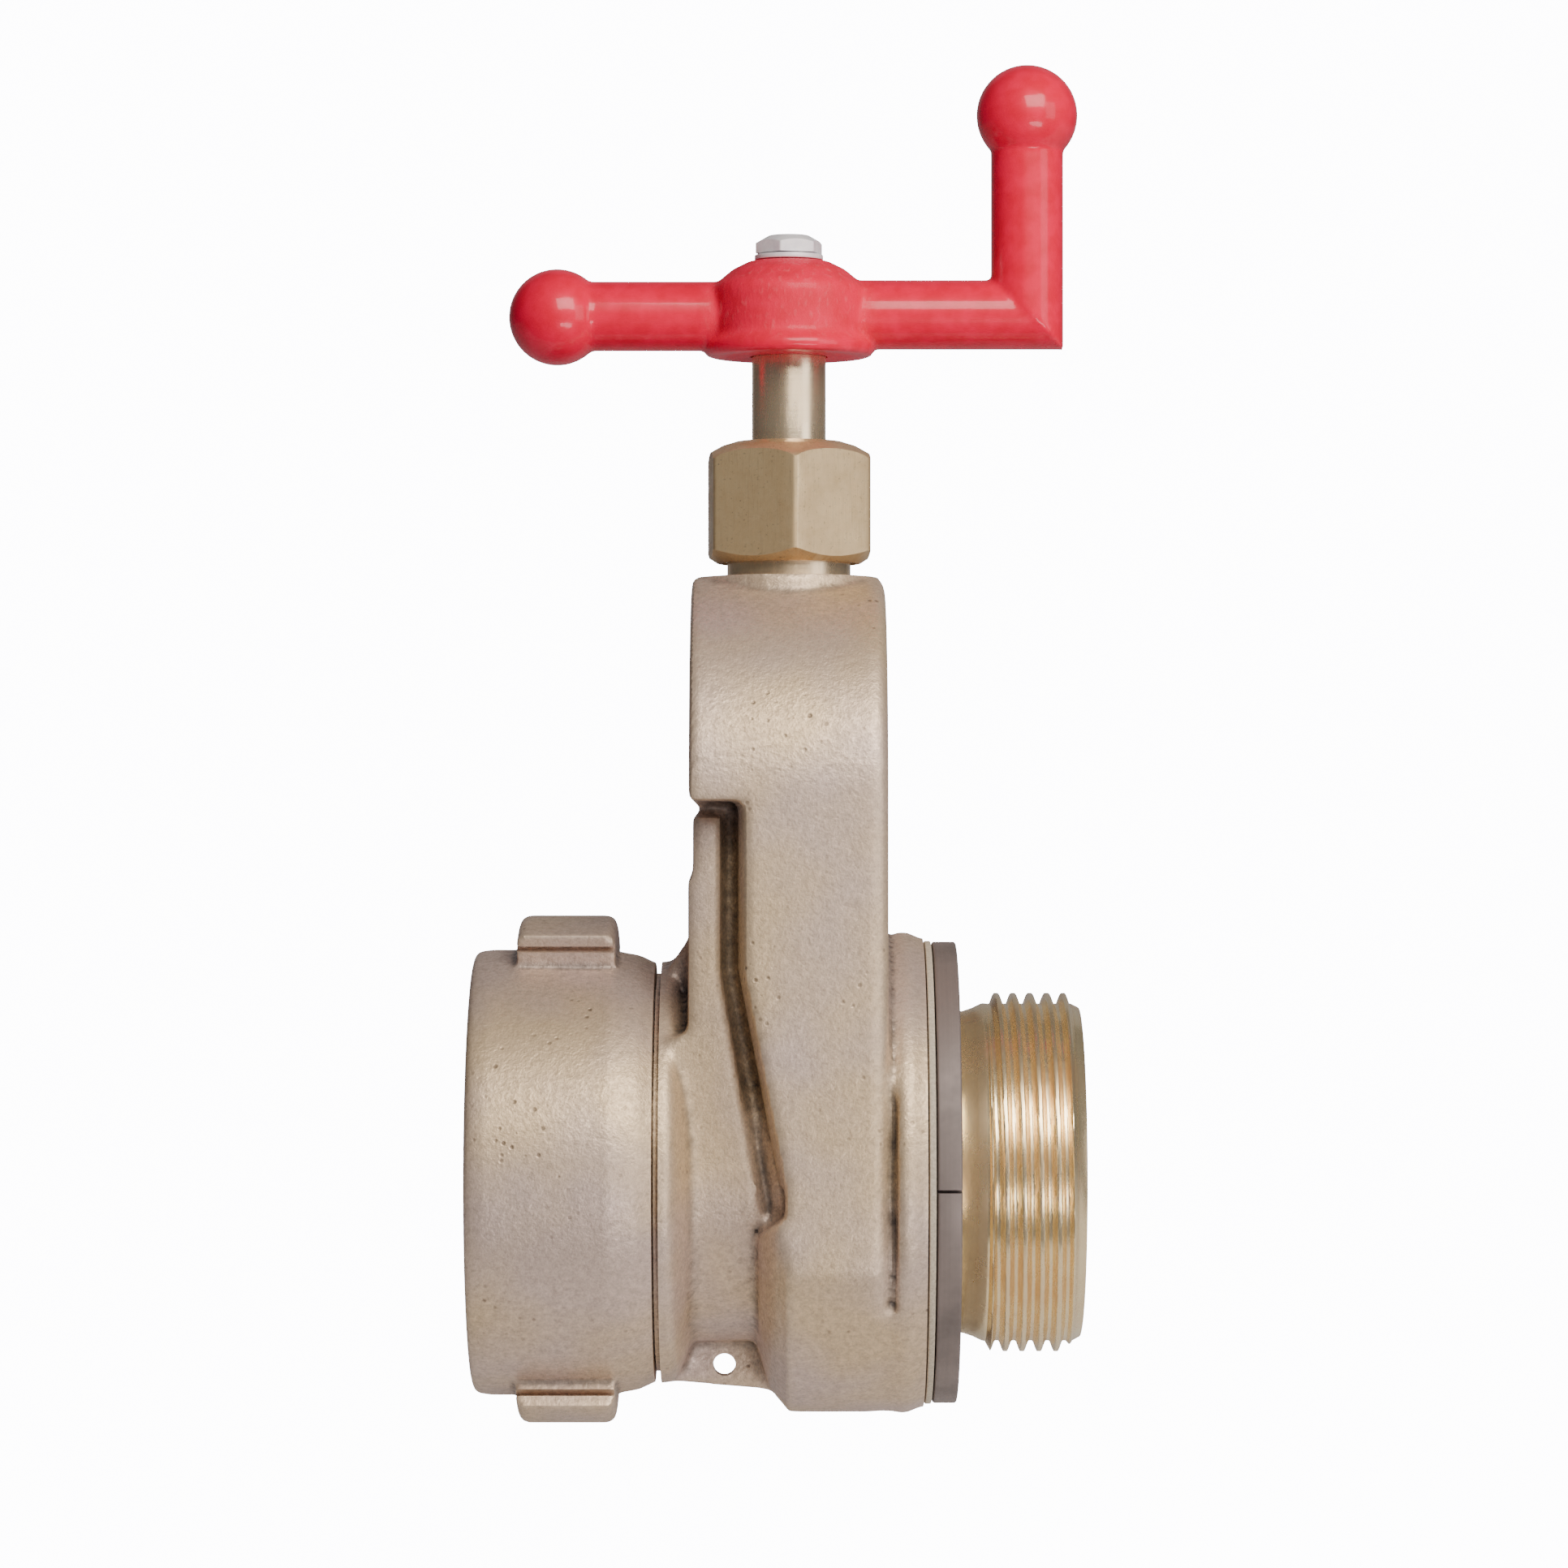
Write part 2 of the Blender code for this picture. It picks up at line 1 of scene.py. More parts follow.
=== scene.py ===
# %% [markdown]
# # A hydrant gate valve
#
# This lesson dresses a finished CAD model of a hose gate valve. The CAD part says how large each piece is and how
# it moves. Here the pieces get the shapes and finishes that the eye expects: soft sand-cast edges on the body and
# the swivel, crisp cut threads on the outlet, wet-looking paint on the crank.
#
# The waterway runs along X, from the swivel on the left to the hose thread on the right, and the stem stands up
# along Z.

# %% Load the frame
import math
import json

import bmesh
import bpy
from mathutils import Matrix, Vector


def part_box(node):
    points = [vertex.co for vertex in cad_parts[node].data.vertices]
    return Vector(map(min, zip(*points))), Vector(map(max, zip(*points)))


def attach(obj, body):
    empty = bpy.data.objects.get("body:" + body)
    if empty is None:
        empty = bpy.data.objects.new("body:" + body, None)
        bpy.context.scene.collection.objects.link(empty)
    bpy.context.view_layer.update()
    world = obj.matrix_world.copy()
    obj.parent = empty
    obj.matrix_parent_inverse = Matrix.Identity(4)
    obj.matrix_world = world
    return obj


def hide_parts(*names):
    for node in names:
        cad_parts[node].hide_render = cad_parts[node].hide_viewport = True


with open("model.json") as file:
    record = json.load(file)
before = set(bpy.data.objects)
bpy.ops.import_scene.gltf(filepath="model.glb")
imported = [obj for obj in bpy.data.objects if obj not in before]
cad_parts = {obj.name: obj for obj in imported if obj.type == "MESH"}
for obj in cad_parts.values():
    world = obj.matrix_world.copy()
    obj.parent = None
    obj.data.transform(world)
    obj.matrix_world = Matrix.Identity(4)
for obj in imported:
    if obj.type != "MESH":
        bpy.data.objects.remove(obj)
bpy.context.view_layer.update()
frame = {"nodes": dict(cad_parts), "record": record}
nodes = frame["nodes"]
MM = 0.001

# %% [markdown]
# ## Places to measure from
#
# Every size below is in millimetres, because that is how a machinist would write it. The places come from the CAD
# nodes' own boxes, so a piece always lands on the solid that it stands for. Four radii return all over the valve, so
# they have names of their own.


# %% Read the places off the nodes
def span(node, axis):
    """The node's lowest and highest place along one axis, in millimetres."""
    low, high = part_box(node)
    return low["xyz".index(axis)] / MM, high["xyz".index(axis)] / MM


stem_x = sum(span("stem", "x")) / 2
swivel_end = span("swivel_coupling", "x")[1]
rim_end = span("body_casting", "x")[1]
housing_top = span("body_casting", "z")[1]
outlet_end = span("outlet_nipple", "x")[1]
ring_start, ring_end = span("outlet_lock_ring", "x")
WATERWAY_R, NECK_R, SOCKET_R, CREST_R = 31.75, 36.2, 38.9, 38.5
print(f"stem at x {stem_x:.2f}, housing top {housing_top:.1f}, outlet end {outlet_end:.1f}")

# %% [markdown]
# ## Camera, stage and lights
#
# These come first, so that every later piece can be looked at as soon as it is made. The valve is seen square from
# the side, through a long lens from more than a metre away, which keeps its flanges nearly straight.

# %% Camera
LENS, SENSOR = 126.0, 36.0
CAMERA_PLACE, LOOK_AT = Vector((0.0665, -1.183, 0.069)), Vector((0.0665, 0, 0.0835))
camera_data = bpy.data.cameras.new("camera")
camera_data.lens, camera_data.sensor_width = LENS, SENSOR
camera = bpy.data.objects.new("camera", camera_data)
bpy.context.scene.collection.objects.link(camera)
camera.location = CAMERA_PLACE
aim = LOOK_AT - CAMERA_PLACE
camera.rotation_euler = aim.to_track_quat("-Z", "Y").to_euler()
bpy.context.scene.camera = camera
print("camera looks up by", round(math.degrees(math.asin(aim.normalized().z)), 2), "degrees")

# %% [markdown]
# The stage is one sheet of white paper that lies flat and curves up behind the valve, as in a product studio, so
# there is no line where the floor meets the wall. It ends just in front of the valve, which lets a low light in.
#
# White paper would also flood the metal with light and wash its shading out. So the paper glows for the camera's own
# rays only, and is dim for every ray that lights or is mirrored in the valve.


# %% Stage
def deselect():
    bpy.ops.object.select_all(action="DESELECT")


def choose(obj):
    """Makes obj the only selected object, and the active one."""
    deselect()
    obj.hide_set(False)
    obj.select_set(True)
    bpy.context.view_layer.objects.active = obj


def pick(obj, kind, wanted):
    """Goes into edit mode with only the wanted edges or faces selected."""
    choose(obj)
    bpy.ops.object.mode_set(mode="EDIT")
    bpy.ops.mesh.select_mode(type=kind)
    bpy.ops.mesh.select_all(action="DESELECT")
    editable = bmesh.from_edit_mesh(obj.data)
    for element in editable.edges if kind == "EDGE" else editable.faces:
        element.select = wanted(element)
    bmesh.update_edit_mesh(obj.data)


def glow_for_camera(tree, for_others):
    """A strength that is WHITE where the camera looks, and small for every other ray."""
    seen = tree.nodes.new("ShaderNodeLightPath")
    glow = tree.nodes.new("ShaderNodeMapRange")
    glow.inputs["To Min"].default_value, glow.inputs["To Max"].default_value = for_others, WHITE
    tree.links.new(seen.outputs["Is Camera Ray"], glow.inputs["Value"])
    return glow.outputs[0]


FLOOR, FRONT_EDGE, BACK_EDGE = -0.1, -0.12, 3.0
CURL_RADIUS, WALL = 1.2, 4
WHITE, PAPER_GLOW, AIR_GLOW = 14.0, 0.15, 0.09
deselect()
bpy.ops.mesh.primitive_plane_add(size=2 * BACK_EDGE, location=(0, 0, FLOOR))
sheet = bpy.context.object
sheet.name = "paper_floor"
bpy.ops.object.mode_set(mode="EDIT")
bpy.ops.mesh.bisect(plane_co=(0, FRONT_EDGE, FLOOR), plane_no=(0, -1, 0), clear_outer=True)
bpy.ops.object.mode_set(mode="OBJECT")
pick(sheet, "EDGE", lambda edge: all(vert.co.y > BACK_EDGE - 0.1 for vert in edge.verts))
curl_centre = (0, BACK_EDGE, FLOOR + CURL_RADIUS)
bpy.ops.mesh.spin(steps=12, angle=-math.pi / 2, center=curl_centre, axis=(1, 0, 0))
bpy.ops.mesh.extrude_region_move(TRANSFORM_OT_translate={"value": (0, 0, WALL)})
bpy.ops.object.mode_set(mode="OBJECT")
bpy.ops.object.transform_apply(location=True)
paper = bpy.data.materials.new("paper")
paper.use_nodes = True
paper_shader = paper.node_tree.nodes["Principled BSDF"]
paper_shader.inputs["Base Color"].default_value = (0.8, 0.8, 0.8, 1)
paper_shader.inputs["Roughness"].default_value = 0.9
paper_shader.inputs["Emission Color"].default_value = (0.96, 0.95, 1, 1)
paper_light = glow_for_camera(paper.node_tree, PAPER_GLOW)
paper.node_tree.links.new(paper_light, paper_shader.inputs["Emission Strength"])
sheet.data.materials.append(paper)
low, high = Vector(sheet.bound_box[0]), Vector(sheet.bound_box[6])
print("paper from", [round(v, 2) for v in low], "to", [round(v, 2) for v in high])

# %% [markdown]
# Three soft boxes light the valve from the front. The upper one draws a bright band along every round piece, the
# lower one a fainter band, and the right one fills the ends that face the outlet. The air itself is nearly dark.


# %% Lights
def softbox(name, place, aim_at, size, watts, colour):
    """A flat area light that looks at a point."""
    data = bpy.data.lights.new(name, "AREA")
    data.shape, data.size, data.size_y = "RECTANGLE", *size
    data.energy, data.color = watts, colour
    lamp = bpy.data.objects.new(name, data)
    bpy.context.scene.collection.objects.link(lamp)
    lamp.location = place
    lamp.rotation_euler = (Vector(aim_at) - Vector(place)).to_track_quat("-Z", "Y").to_euler()
    return lamp


middle = Vector((0.066, 0, 0.08))
for name, way, distance, size, watts, colour in (
    ("upper_box", (0.30, -0.77, 0.57), 0.9, (0.62, 0.42), 9.4, (1.0, 0.94, 0.86)),
    ("lower_box", (0.36, -0.88, -0.31), 1.1, (0.55, 0.2), 3.6, (1.0, 0.95, 0.93)),
    ("right_box", (0.80, -0.56, 0.2), 1.4, (0.6, 0.8), 4, (1.0, 0.97, 0.95)),
):
    softbox(name, middle + Vector(way) * distance, middle, size, watts, colour)
world = bpy.data.worlds.new("studio")
bpy.context.scene.world = world
world.use_nodes = True
air = world.node_tree
air.links.new(glow_for_camera(air, AIR_GLOW), air.nodes["Background"].inputs["Strength"])
air.nodes["Background"].inputs["Color"].default_value = (1, 0.97, 1, 1)

# %% [markdown]
# ## Small workshop tools
#
# Blender's operators act on whatever is selected, so each tool below first selects exactly what it needs. They are
# the moves that a person would make by hand: add a block, slice it, pull a face, join two solids, cut one out of
# another.


# %% Blocks and bars
def settle(obj, name):
    """Names a new piece and bakes its place into its mesh."""
    obj.name = obj.data.name = name
    choose(obj)
    bpy.ops.object.transform_apply(location=True, rotation=True, scale=True)
    return obj


def block(name, x, y, z):
    """A box between three pairs of places."""
    deselect()
    pairs = (x, y, z)
    bpy.ops.mesh.primitive_cube_add(
        size=1,
        location=[(low + high) / 2 * MM for low, high in pairs],
        scale=[(high - low) * MM for low, high in pairs],
    )
    return settle(bpy.context.object, name)


TILT = {"X": (0, math.pi / 2, 0), "Y": (math.pi / 2, 0, 0), "Z": (0, 0, 0)}


def bar(name, radius, ends, axis, centre=(0, 0), segments=128):
    """A round bar between two places on an axis; centre is its place on the other two."""
    deselect()
    place = list(centre)
    place.insert("XYZ".index(axis), sum(ends) / 2)
    bpy.ops.mesh.primitive_cylinder_add(
        vertices=segments,
        radius=radius * MM,
        depth=(ends[1] - ends[0]) * MM,
        location=[v * MM for v in place],
        rotation=TILT[axis],
    )
    return settle(bpy.context.object, name)


# %% Slice, pull and select
def slice_off(obj, point, normal):
    """Cuts a piece with a plane and throws away the side that the normal points to."""
    choose(obj)
    bpy.ops.object.mode_set(mode="EDIT")
    bpy.ops.mesh.select_all(action="SELECT")
    bpy.ops.mesh.bisect(
        plane_co=[v * MM for v in point], plane_no=normal, use_fill=True, clear_outer=True, threshold=1e-7
    )
    bpy.ops.object.mode_set(mode="OBJECT")
    return obj


def swing(obj, angle):
    """Turns a piece about the waterway; the operator's own angle runs the other way."""
    choose(obj)
    bpy.ops.transform.rotate(value=-angle, orient_axis="X", center_override=(0, 0, 0))
    return settle(obj, obj.name)


def pull(obj, direction, by):
    """Extrudes the faces that look in a direction, by so many millimetres."""
    pick(obj, "FACE", lambda face: face.normal.dot(Vector(direction)) > 0.999)
    bpy.ops.mesh.extrude_region_move(TRANSFORM_OT_translate={"value": [v * by * MM for v in direction]})
    bpy.ops.object.mode_set(mode="OBJECT")
    return obj


def round_edges(obj, wanted, radius, steps=4):
    """Rounds the wanted edges with a bevel of a few steps."""
    pick(obj, "EDGE", wanted)
    bpy.ops.mesh.bevel(offset=radius * MM, segments=steps)
    bpy.ops.object.mode_set(mode="OBJECT")
    return obj


# %% Turn a profile
AXES = {"X": Vector((1, 0, 0)), "Z": Vector((0, 0, 1))}


def rounded(corners, steps=4):
    """Corners (place, radius, fillet) become plain (place, radius) points, with an arc at each filleted corner."""
    points = []
    for i, corner in enumerate(corners):
        here = Vector(corner[:2])
        fillet = corner[2] if len(corner) > 2 else 0
        if not fillet:
            points.append(tuple(here))
            continue
        before = (Vector(corners[i - 1][:2]) - here).normalized()
        after = (Vector(corners[(i + 1) % len(corners)][:2]) - here).normalized()
        half = before.angle(after) / 2
        reach = fillet / math.tan(half)
        centre = here + (before + after).normalized() * fillet / math.sin(half)
        start, end = here + before * reach - centre, here + after * reach - centre
        sweep = start.angle_signed(end)
        for k in range(steps + 1):
            spun = Matrix.Rotation(-sweep * k / steps, 2)
            points.append(tuple(centre + spun @ start))
    return points


def turn(name, profile, axis="X", centre=(0, 0), segments=160, solid=False):
    """Turns a ring, or a solid plug: one circle is extruded from point to point of the profile."""
    deselect()
    place, radius = profile[0]
    spot = list(centre)
    spot.insert("XYZ".index(axis), place)
    bpy.ops.mesh.primitive_circle_add(
        vertices=segments,
        radius=radius * MM,
        fill_type="NGON" if solid else "NOTHING",
        location=[v * MM for v in spot],
        rotation=TILT[axis],
    )
    obj = bpy.context.object
    along = AXES[axis]
    middle = Vector([v * MM for v in spot])
    bpy.ops.object.mode_set(mode="EDIT")
    bpy.ops.mesh.select_mode(type="FACE" if solid else "EDGE")
    bpy.ops.mesh.select_all(action="SELECT")
    for (place, radius), (next_place, next_radius) in zip(profile, profile[1:]):
        step = along * (next_place - place) * MM
        bpy.ops.mesh.extrude_region_move(TRANSFORM_OT_translate={"value": step})
        middle = middle + step
        grow = next_radius / radius
        size = [1 if v else grow for v in along]
        bpy.ops.transform.resize(value=size, center_override=middle)
    if not solid:
        bpy.ops.mesh.select_all(action="DESELECT")
        bpy.ops.mesh.select_non_manifold()
        bpy.ops.mesh.bridge_edge_loops()
    bpy.ops.mesh.select_all(action="SELECT")
    bpy.ops.mesh.normals_make_consistent(inside=False)
    bpy.ops.object.mode_set(mode="OBJECT")
    return settle(obj, name)


# %% Join, cut and smooth
def apply_modifier(obj, kind, **values):
    """Adds one modifier, sets its values and applies it."""
    choose(obj)
    step = obj.modifiers.new(kind.lower(), kind)
    for key, value in values.items():
        setattr(step, key, value)
    bpy.ops.object.modifier_apply(modifier=step.name)
    return obj


def combine(obj, others, operation):
    """Joins, cuts or keeps, one solid after another, and clears the used solids away."""
    for other in others:
        apply_modifier(obj, "BOOLEAN", operation=operation, solver="EXACT", object=other)
        bpy.data.objects.remove(other)
    return obj


def fuse(obj, *others):
    """Makes one solid of several."""
    return combine(obj, others, "UNION")


def machine(obj, *cutters):
    """Takes the cutters' shapes away."""
    return combine(obj, cutters, "DIFFERENCE")


def keep_inside(obj, blank):
    """Keeps only what lies inside the blank too."""
    return combine(obj, [blank], "INTERSECT")


def melt(obj, grain, passes):
    """Rounds every edge as a sand mould does: an even skin of small squares, relaxed a few times."""
    apply_modifier(obj, "REMESH", mode="VOXEL", voxel_size=grain * MM)
    apply_modifier(obj, "SMOOTH", factor=0.5, iterations=passes)
    return obj


def smooth(obj, angle=35):
    """Shades smooth across every edge that is flatter than the angle."""
    choose(obj)
    bpy.ops.object.shade_smooth_by_angle(angle=math.radians(angle))
    return obj


# %% [markdown]
# A screw thread is a ridge that climbs one pitch for each turn. The tool below is the lathe's: the work already
# carries a row of close rings, and each of their points is pushed to the depth that the ridge has at its angle.


# %% Cut a thread
RIDGE_HALF, RIDGE_SLOPE = 0.84, 0.66  # as shares of half a pitch
INNER_WALL = 0.6  # a point this far inside the root is not part of the outer wall


def ridge(phase):
    """Height of the thread, 0 at its root and 1 at its crest, for a phase from 0 to 1."""
    away = abs(phase % 1 - 0.5) * 2
    height = min(1, max(0, (RIDGE_HALF - away) / RIDGE_SLOPE))
    return height * height * (3 - 2 * height)


def cut_thread(obj, axis, ends, radii, pitch, ramp=1.5, centre=(0, 0), hand=1, shift=0.0):
    """Threads the outer wall between two places. radii are the root's and the crest's; the ends fade out."""
    low, high = ends
    root, crest = radii
    first, second = {"X": (1, 2), "Z": (0, 1)}[axis]
    along = "XYZ".index(axis)
    moved = 0
    for vert in obj.data.vertices:
        place = vert.co[along] / MM
        a, b = vert.co[first] / MM - centre[0], vert.co[second] / MM - centre[1]
        radius = math.hypot(a, b)
        if not (low < place < high and radius > root - INNER_WALL):
            continue
        fade = min(1, (place - low) / ramp, (high - place) / ramp)
        target = root + (crest - root) * fade * ridge((place - shift) / pitch - hand * math.atan2(b, a) / math.tau)
        vert.co[first] = (centre[0] + a * target / radius) * MM
        vert.co[second] = (centre[1] + b * target / radius) * MM
        moved += 1
    print(f"{obj.name}: {(high - low) / pitch:.1f} turns of thread on {moved} points")
    return obj


# %% Hand a finished piece over
body_of = {node: body for body, names in frame["record"]["behaviour"]["bodies"].items() for node in names}
slot_of = {row["node"]: row["material_slot"] for row in frame["record"]["subparts"]}


def stand_for(obj, node):
    """The piece replaces its CAD node, rides on the same body and takes its finish from the same slot."""
    obj.name = obj.data.name = node + "_skin"
    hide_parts(node)
    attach(obj, body_of[node])
    size = [round(v / MM, 1) for v in obj.dimensions]
    print(f"{node}: {len(obj.data.polygons)} faces, {size} mm, rides on {body_of[node]}")
    return obj


# %% [markdown]
# ## The body casting
#
# A valve body is poured in sand. No edge of it is sharp, every inside corner has a fillet, and only the faces that
# other pieces touch are machined afterwards. It could be drawn as one subdivision cage, but its flat rib, round neck
# and slanted channel meet in awkward corners. So it is made as a foundry makes it: rough solids are joined, their
# edges are melted round, and then the bores are cut with sharp tools.
#
# The housing is the flat box that the gate slides in. Its head is full thickness. Below a shelf its left side steps
# back, runs straight down to a bend and then slants away to the foot. That side leans back a little, so that the
# mould can be pulled off it.

# %% Housing solids
HALF, HEAD_LEFT, HEAD_RIGHT = 48.0, 46.7, 88.2
CHANNEL_X, BEND_Z, FOOT_X, FOOT_R = 58.3, 44.0, 66.8, 51.4
DRAFT = (1.3, 10.0)
SHELF_Z, ARCH_Z = 79.5, housing_top - HALF

head = bar("head", HALF, (HEAD_LEFT, HEAD_RIGHT), "X", (0, ARCH_Z), segments=192)
slice_off(head, (0, 0, ARCH_Z), (0, 0, -1))
pull(head, (0, 0, -1), ARCH_Z - SHELF_Z)

chamber = block("chamber", (CHANNEL_X - DRAFT[0], HEAD_RIGHT), (-HALF, HALF), (-0.5, SHELF_Z + 0.4))
slant = Vector((-BEND_Z, 0, CHANNEL_X - FOOT_X)).normalized()
slice_off(chamber, (CHANNEL_X - DRAFT[0], 0, BEND_Z), slant)
for side in (-1, 1):
    inward = Vector((-DRAFT[0], -side * DRAFT[1], 0))
    for down in (Vector((FOOT_X - CHANNEL_X, 0, -BEND_Z)), Vector((0, 0, -1))):
        slice_off(chamber, (CHANNEL_X, side * HALF, BEND_Z), side * down.cross(inward).normalized())

foot = bar("foot", FOOT_R, (FOOT_X, HEAD_RIGHT), "X", segments=192)
for side in (-1, 1):
    slice_off(foot, (0, side * HALF, 0), (0, side, 0))
slice_off(foot, (0, 0, 0), (0, 0, 1))
housing = fuse(head, chamber, foot)


def outlines_right_side(edge):
    """Whether just one of the edge's two faces lies on the housing's right side."""
    on_side = [all(abs(v.co.x - HEAD_RIGHT * MM) < 1e-5 for v in face.verts) for face in edge.link_faces]
    return on_side.count(True) == 1


round_edges(housing, outlines_right_side, 2.8)
print("slant leans", round(math.degrees(math.atan2(-slant.z, -slant.x)), 1), "degrees")

# %% [markdown]
# A narrow rib joins the housing to the neck. It is built up from blocks: a core, a tongue that widens downwards, a
# tip that reaches over the collar, and a gusset on top of the neck.

# %% Rib
core = block("core", (49, 75), (-30, 30), (10, SHELF_Z + 5))
TONGUE_Y = 35.9
tongue = block("tongue", (47.4, 53.3), (-TONGUE_Y, TONGUE_Y), (0.2, 76.3))
tongue_edge = Vector((41, 0, 6.9)).normalized()
wide_tongue = block("wide_tongue", (46.4, 61.5), (-TONGUE_Y, TONGUE_Y), (-0.5, 63.3))
slice_off(wide_tongue, (53.3, 0, BEND_Z), tongue_edge)
tip = block("tip", (42.4, 48), (-TONGUE_Y, TONGUE_Y), (-0.5, 32))
slice_off(tip, (42.4, 0, 29.3), Vector((-1, 0, 2)).normalized())
gusset = block("gusset", (42.2, 48), (-16, 16), (40, 51))
slice_off(gusset, (42.2, 0, 44.6), Vector((-6.4, 0, 4.4)).normalized())
print("rib is", 2 * TONGUE_Y, "mm wide")

# %% [markdown]
# What is round about the waterway comes from turned profiles. The neck falls from the collar to its waist, the flank
# climbs from the waist to the foot, and the rim ends the casting. A thin web carries the ear for a tag wire.

# %% Neck, flank, rim and ear
neck_profile = [(34, 39.5), (34, 45.2), (42.4, 45.2, 0.9), (43.9, 43.4), (45.3, 40.2), (46.2, 37.6)]
neck = turn("neck", rounded([*neck_profile, (47.4, NECK_R), (71, NECK_R)]), solid=True)
flank_profile = [(61.3, 38.8), (62.3, 42.4), (63.4, 45.8), (65.1, 48.6), (67.8, 50.6), (71, 50.9)]
flank = turn("flank", [(58, 33), (60.4, NECK_R), *flank_profile], solid=True)
slice_off(flank, (FOOT_X, 0, -7), Vector((-5, 0, 6.3)).normalized())
slice_off(flank, (FOOT_X, 0, 0), (0, 0, 1))
for side in (-1, 1):
    slice_off(flank, (0, side * HALF, 0), (0, side, 0))
rim_profile = [(87.4, 46), (87.4, 49.4, 0.6), (90.8, 51.6, 2.0), (93, 51.6, 3.0), (95.6, 50.3, 1.0)]
rim = turn("rim", rounded([*rim_profile, (rim_end + 3, 49.9)]), solid=True)
heel = bar("heel", 51.2, (80, 91), "X", segments=180)
slice_off(heel, (89, 0, -27), (0, 0, 1))
ear_web = block("ear_web", (44, 69), (-2.6, 2.6), (-51, -20))
slice_off(ear_web, (44, 0, -45.0), Vector((-1.6, 0, -18)).normalized())
boss = bar("boss", 19, (105, housing_top + 0.4), "Z", (stem_x, 0))
body = fuse(core, tongue, wide_tongue, tip, gusset, neck, flank, rim, heel, ear_web, boss)
print("rough solids joined:", len(body.data.polygons), "faces")

# %% [markdown]
# Melting fills narrow inside corners, so where one has to stay a dark line, a crease or groove is cut first. The
# housing joins as a loose shell, because the remesh makes one skin of both anyway.

# %% Melt the casting
for name, x, radii, heights in (
    ("crease", (59.5, 61.5), (34.9, 38), (-33, -9)),
    ("groove", (87, 90.1), (46.4, 53), (-27, 19)),
):
    cutter = turn(name, [(x[0], radii[0]), (x[0], radii[1]), (x[1], radii[1]), (x[1], radii[0])])
    slice_off(cutter, (0, 0, heights[1]), (0, 0, 1))
    slice_off(cutter, (0, 0, heights[0]), (0, 0, -1))
    machine(body, cutter)
for side in (-1, 1):
    crease = block("crease", (54, 70), sorted((side * 34.0, side * 37.5)), (-7.5, 15))
    slice_off(crease, (53.3, 0, BEND_Z), -tongue_edge)
    slice_off(crease, (56.6, 0, BEND_Z), tongue_edge)
    machine(body, crease)
choose(body)
housing.select_set(True)
bpy.ops.object.join()
melt(body, 0.95, 7)
print("melted skin:", len(body.data.polygons), "faces")

# %% [markdown]
# The machine shop comes next: the waterway, the seats, the gate's channel, the bore for the stem and the clean faces
# at both ends. These cuts stay sharp, and that contrast is what makes rough brass read as a casting. FAR is only a
# place well outside the valve, for cutters that have to reach past it.

# %% The gate's channel
FAR, SEAT_R = 60, 35.4
CAVITY_HALF, CAVITY_LEFT, CAVITY_RIGHT = 42.2, CHANNEL_X + 4.5, 84.1
channel = bar("channel", 46, (CAVITY_LEFT, CAVITY_RIGHT), "X", segments=96)
for side in (-1, 1):
    slice_off(channel, (0, side * CAVITY_HALF, 0), (0, side, 0))
slice_off(channel, (0, 0, 0), (0, 0, 1))
pull(channel, (0, 0, 1), 79.0)
fuse(channel, bar("channel_top", CAVITY_HALF, (CAVITY_LEFT, CAVITY_RIGHT), "X", (0, 78.8), segments=96))
channel_slant = block("channel_slant", (40, 72), (-FAR, FAR), (-FAR, 43))
slice_off(channel_slant, (CAVITY_LEFT, 0, 43), -slant)
machine(channel, channel_slant, bar("port_boss", 37.2, (50, 72.3), "X"))
print("channel:", [round(v / MM, 1) for v in channel.dimensions], "mm")

# %% Machine the casting
top_hollow = bar("top_hollow", 41, (51.5, 80), "X", (0, 79.6), segments=96)
slice_off(top_hollow, (0, 0, 84), (0, 0, -1))
machine(
    body,
    channel,
    top_hollow,
    block("core_hollow", (51.5, 80), (-24, 24), (37.4, 90)),
    bar("inlet_bore", WATERWAY_R, (20, 75), "X", segments=144),
    bar("seat_bore", SEAT_R, (68, 74), "X", segments=152),
    bar("outlet_bore", 44.5, (83.6, 100), "X", segments=136),
    bar("stuffing_bore", 15.2, (115, 140), "Z", (stem_x, 0), segments=96),
    bar("ear_hole", 2.4, (-10, 10), "Y", (53.7, -41.3), segments=48),
    block("rim_face", (rim_end, 110), (-FAR, FAR), (-FAR, FAR)),
    block("top_face", (40, 100), (-FAR, FAR), (housing_top, 150)),
)
print("machined casting:", len(body.data.polygons), "faces")

# %% [markdown]
# The swivel runs on the body's tail, which is turned to size and grooved for the bearing wire. A narrow seam stays
# open between the swivel and the collar, so that the two never rub.

# %% Tail and seam
TAIL_R, RACE_R, SEAM_R = 39.5, 37.8, 42.7
race = [(31.3, TAIL_R), (31.3, RACE_R), (35.3, RACE_R), (35.3, TAIL_R)]
tail = turn(
    "tail",
    [(25.7, WATERWAY_R), (25.7, 38.9), (26.3, TAIL_R), *race, (45, TAIL_R), (45, WATERWAY_R)],
)
seam_left, seam_right = swivel_end - 1, swivel_end + 1.4
seam = turn("seam", [(seam_left, SEAM_R), (seam_left, FAR), (seam_right, FAR), (seam_right, SEAM_R)])
machine(body, block("old_tail", (10, swivel_end + 0.4), (-FAR, FAR), (-FAR, FAR)), seam)
fuse(body, tail)
smooth(body, 30)
stand_for(body, "body_casting")

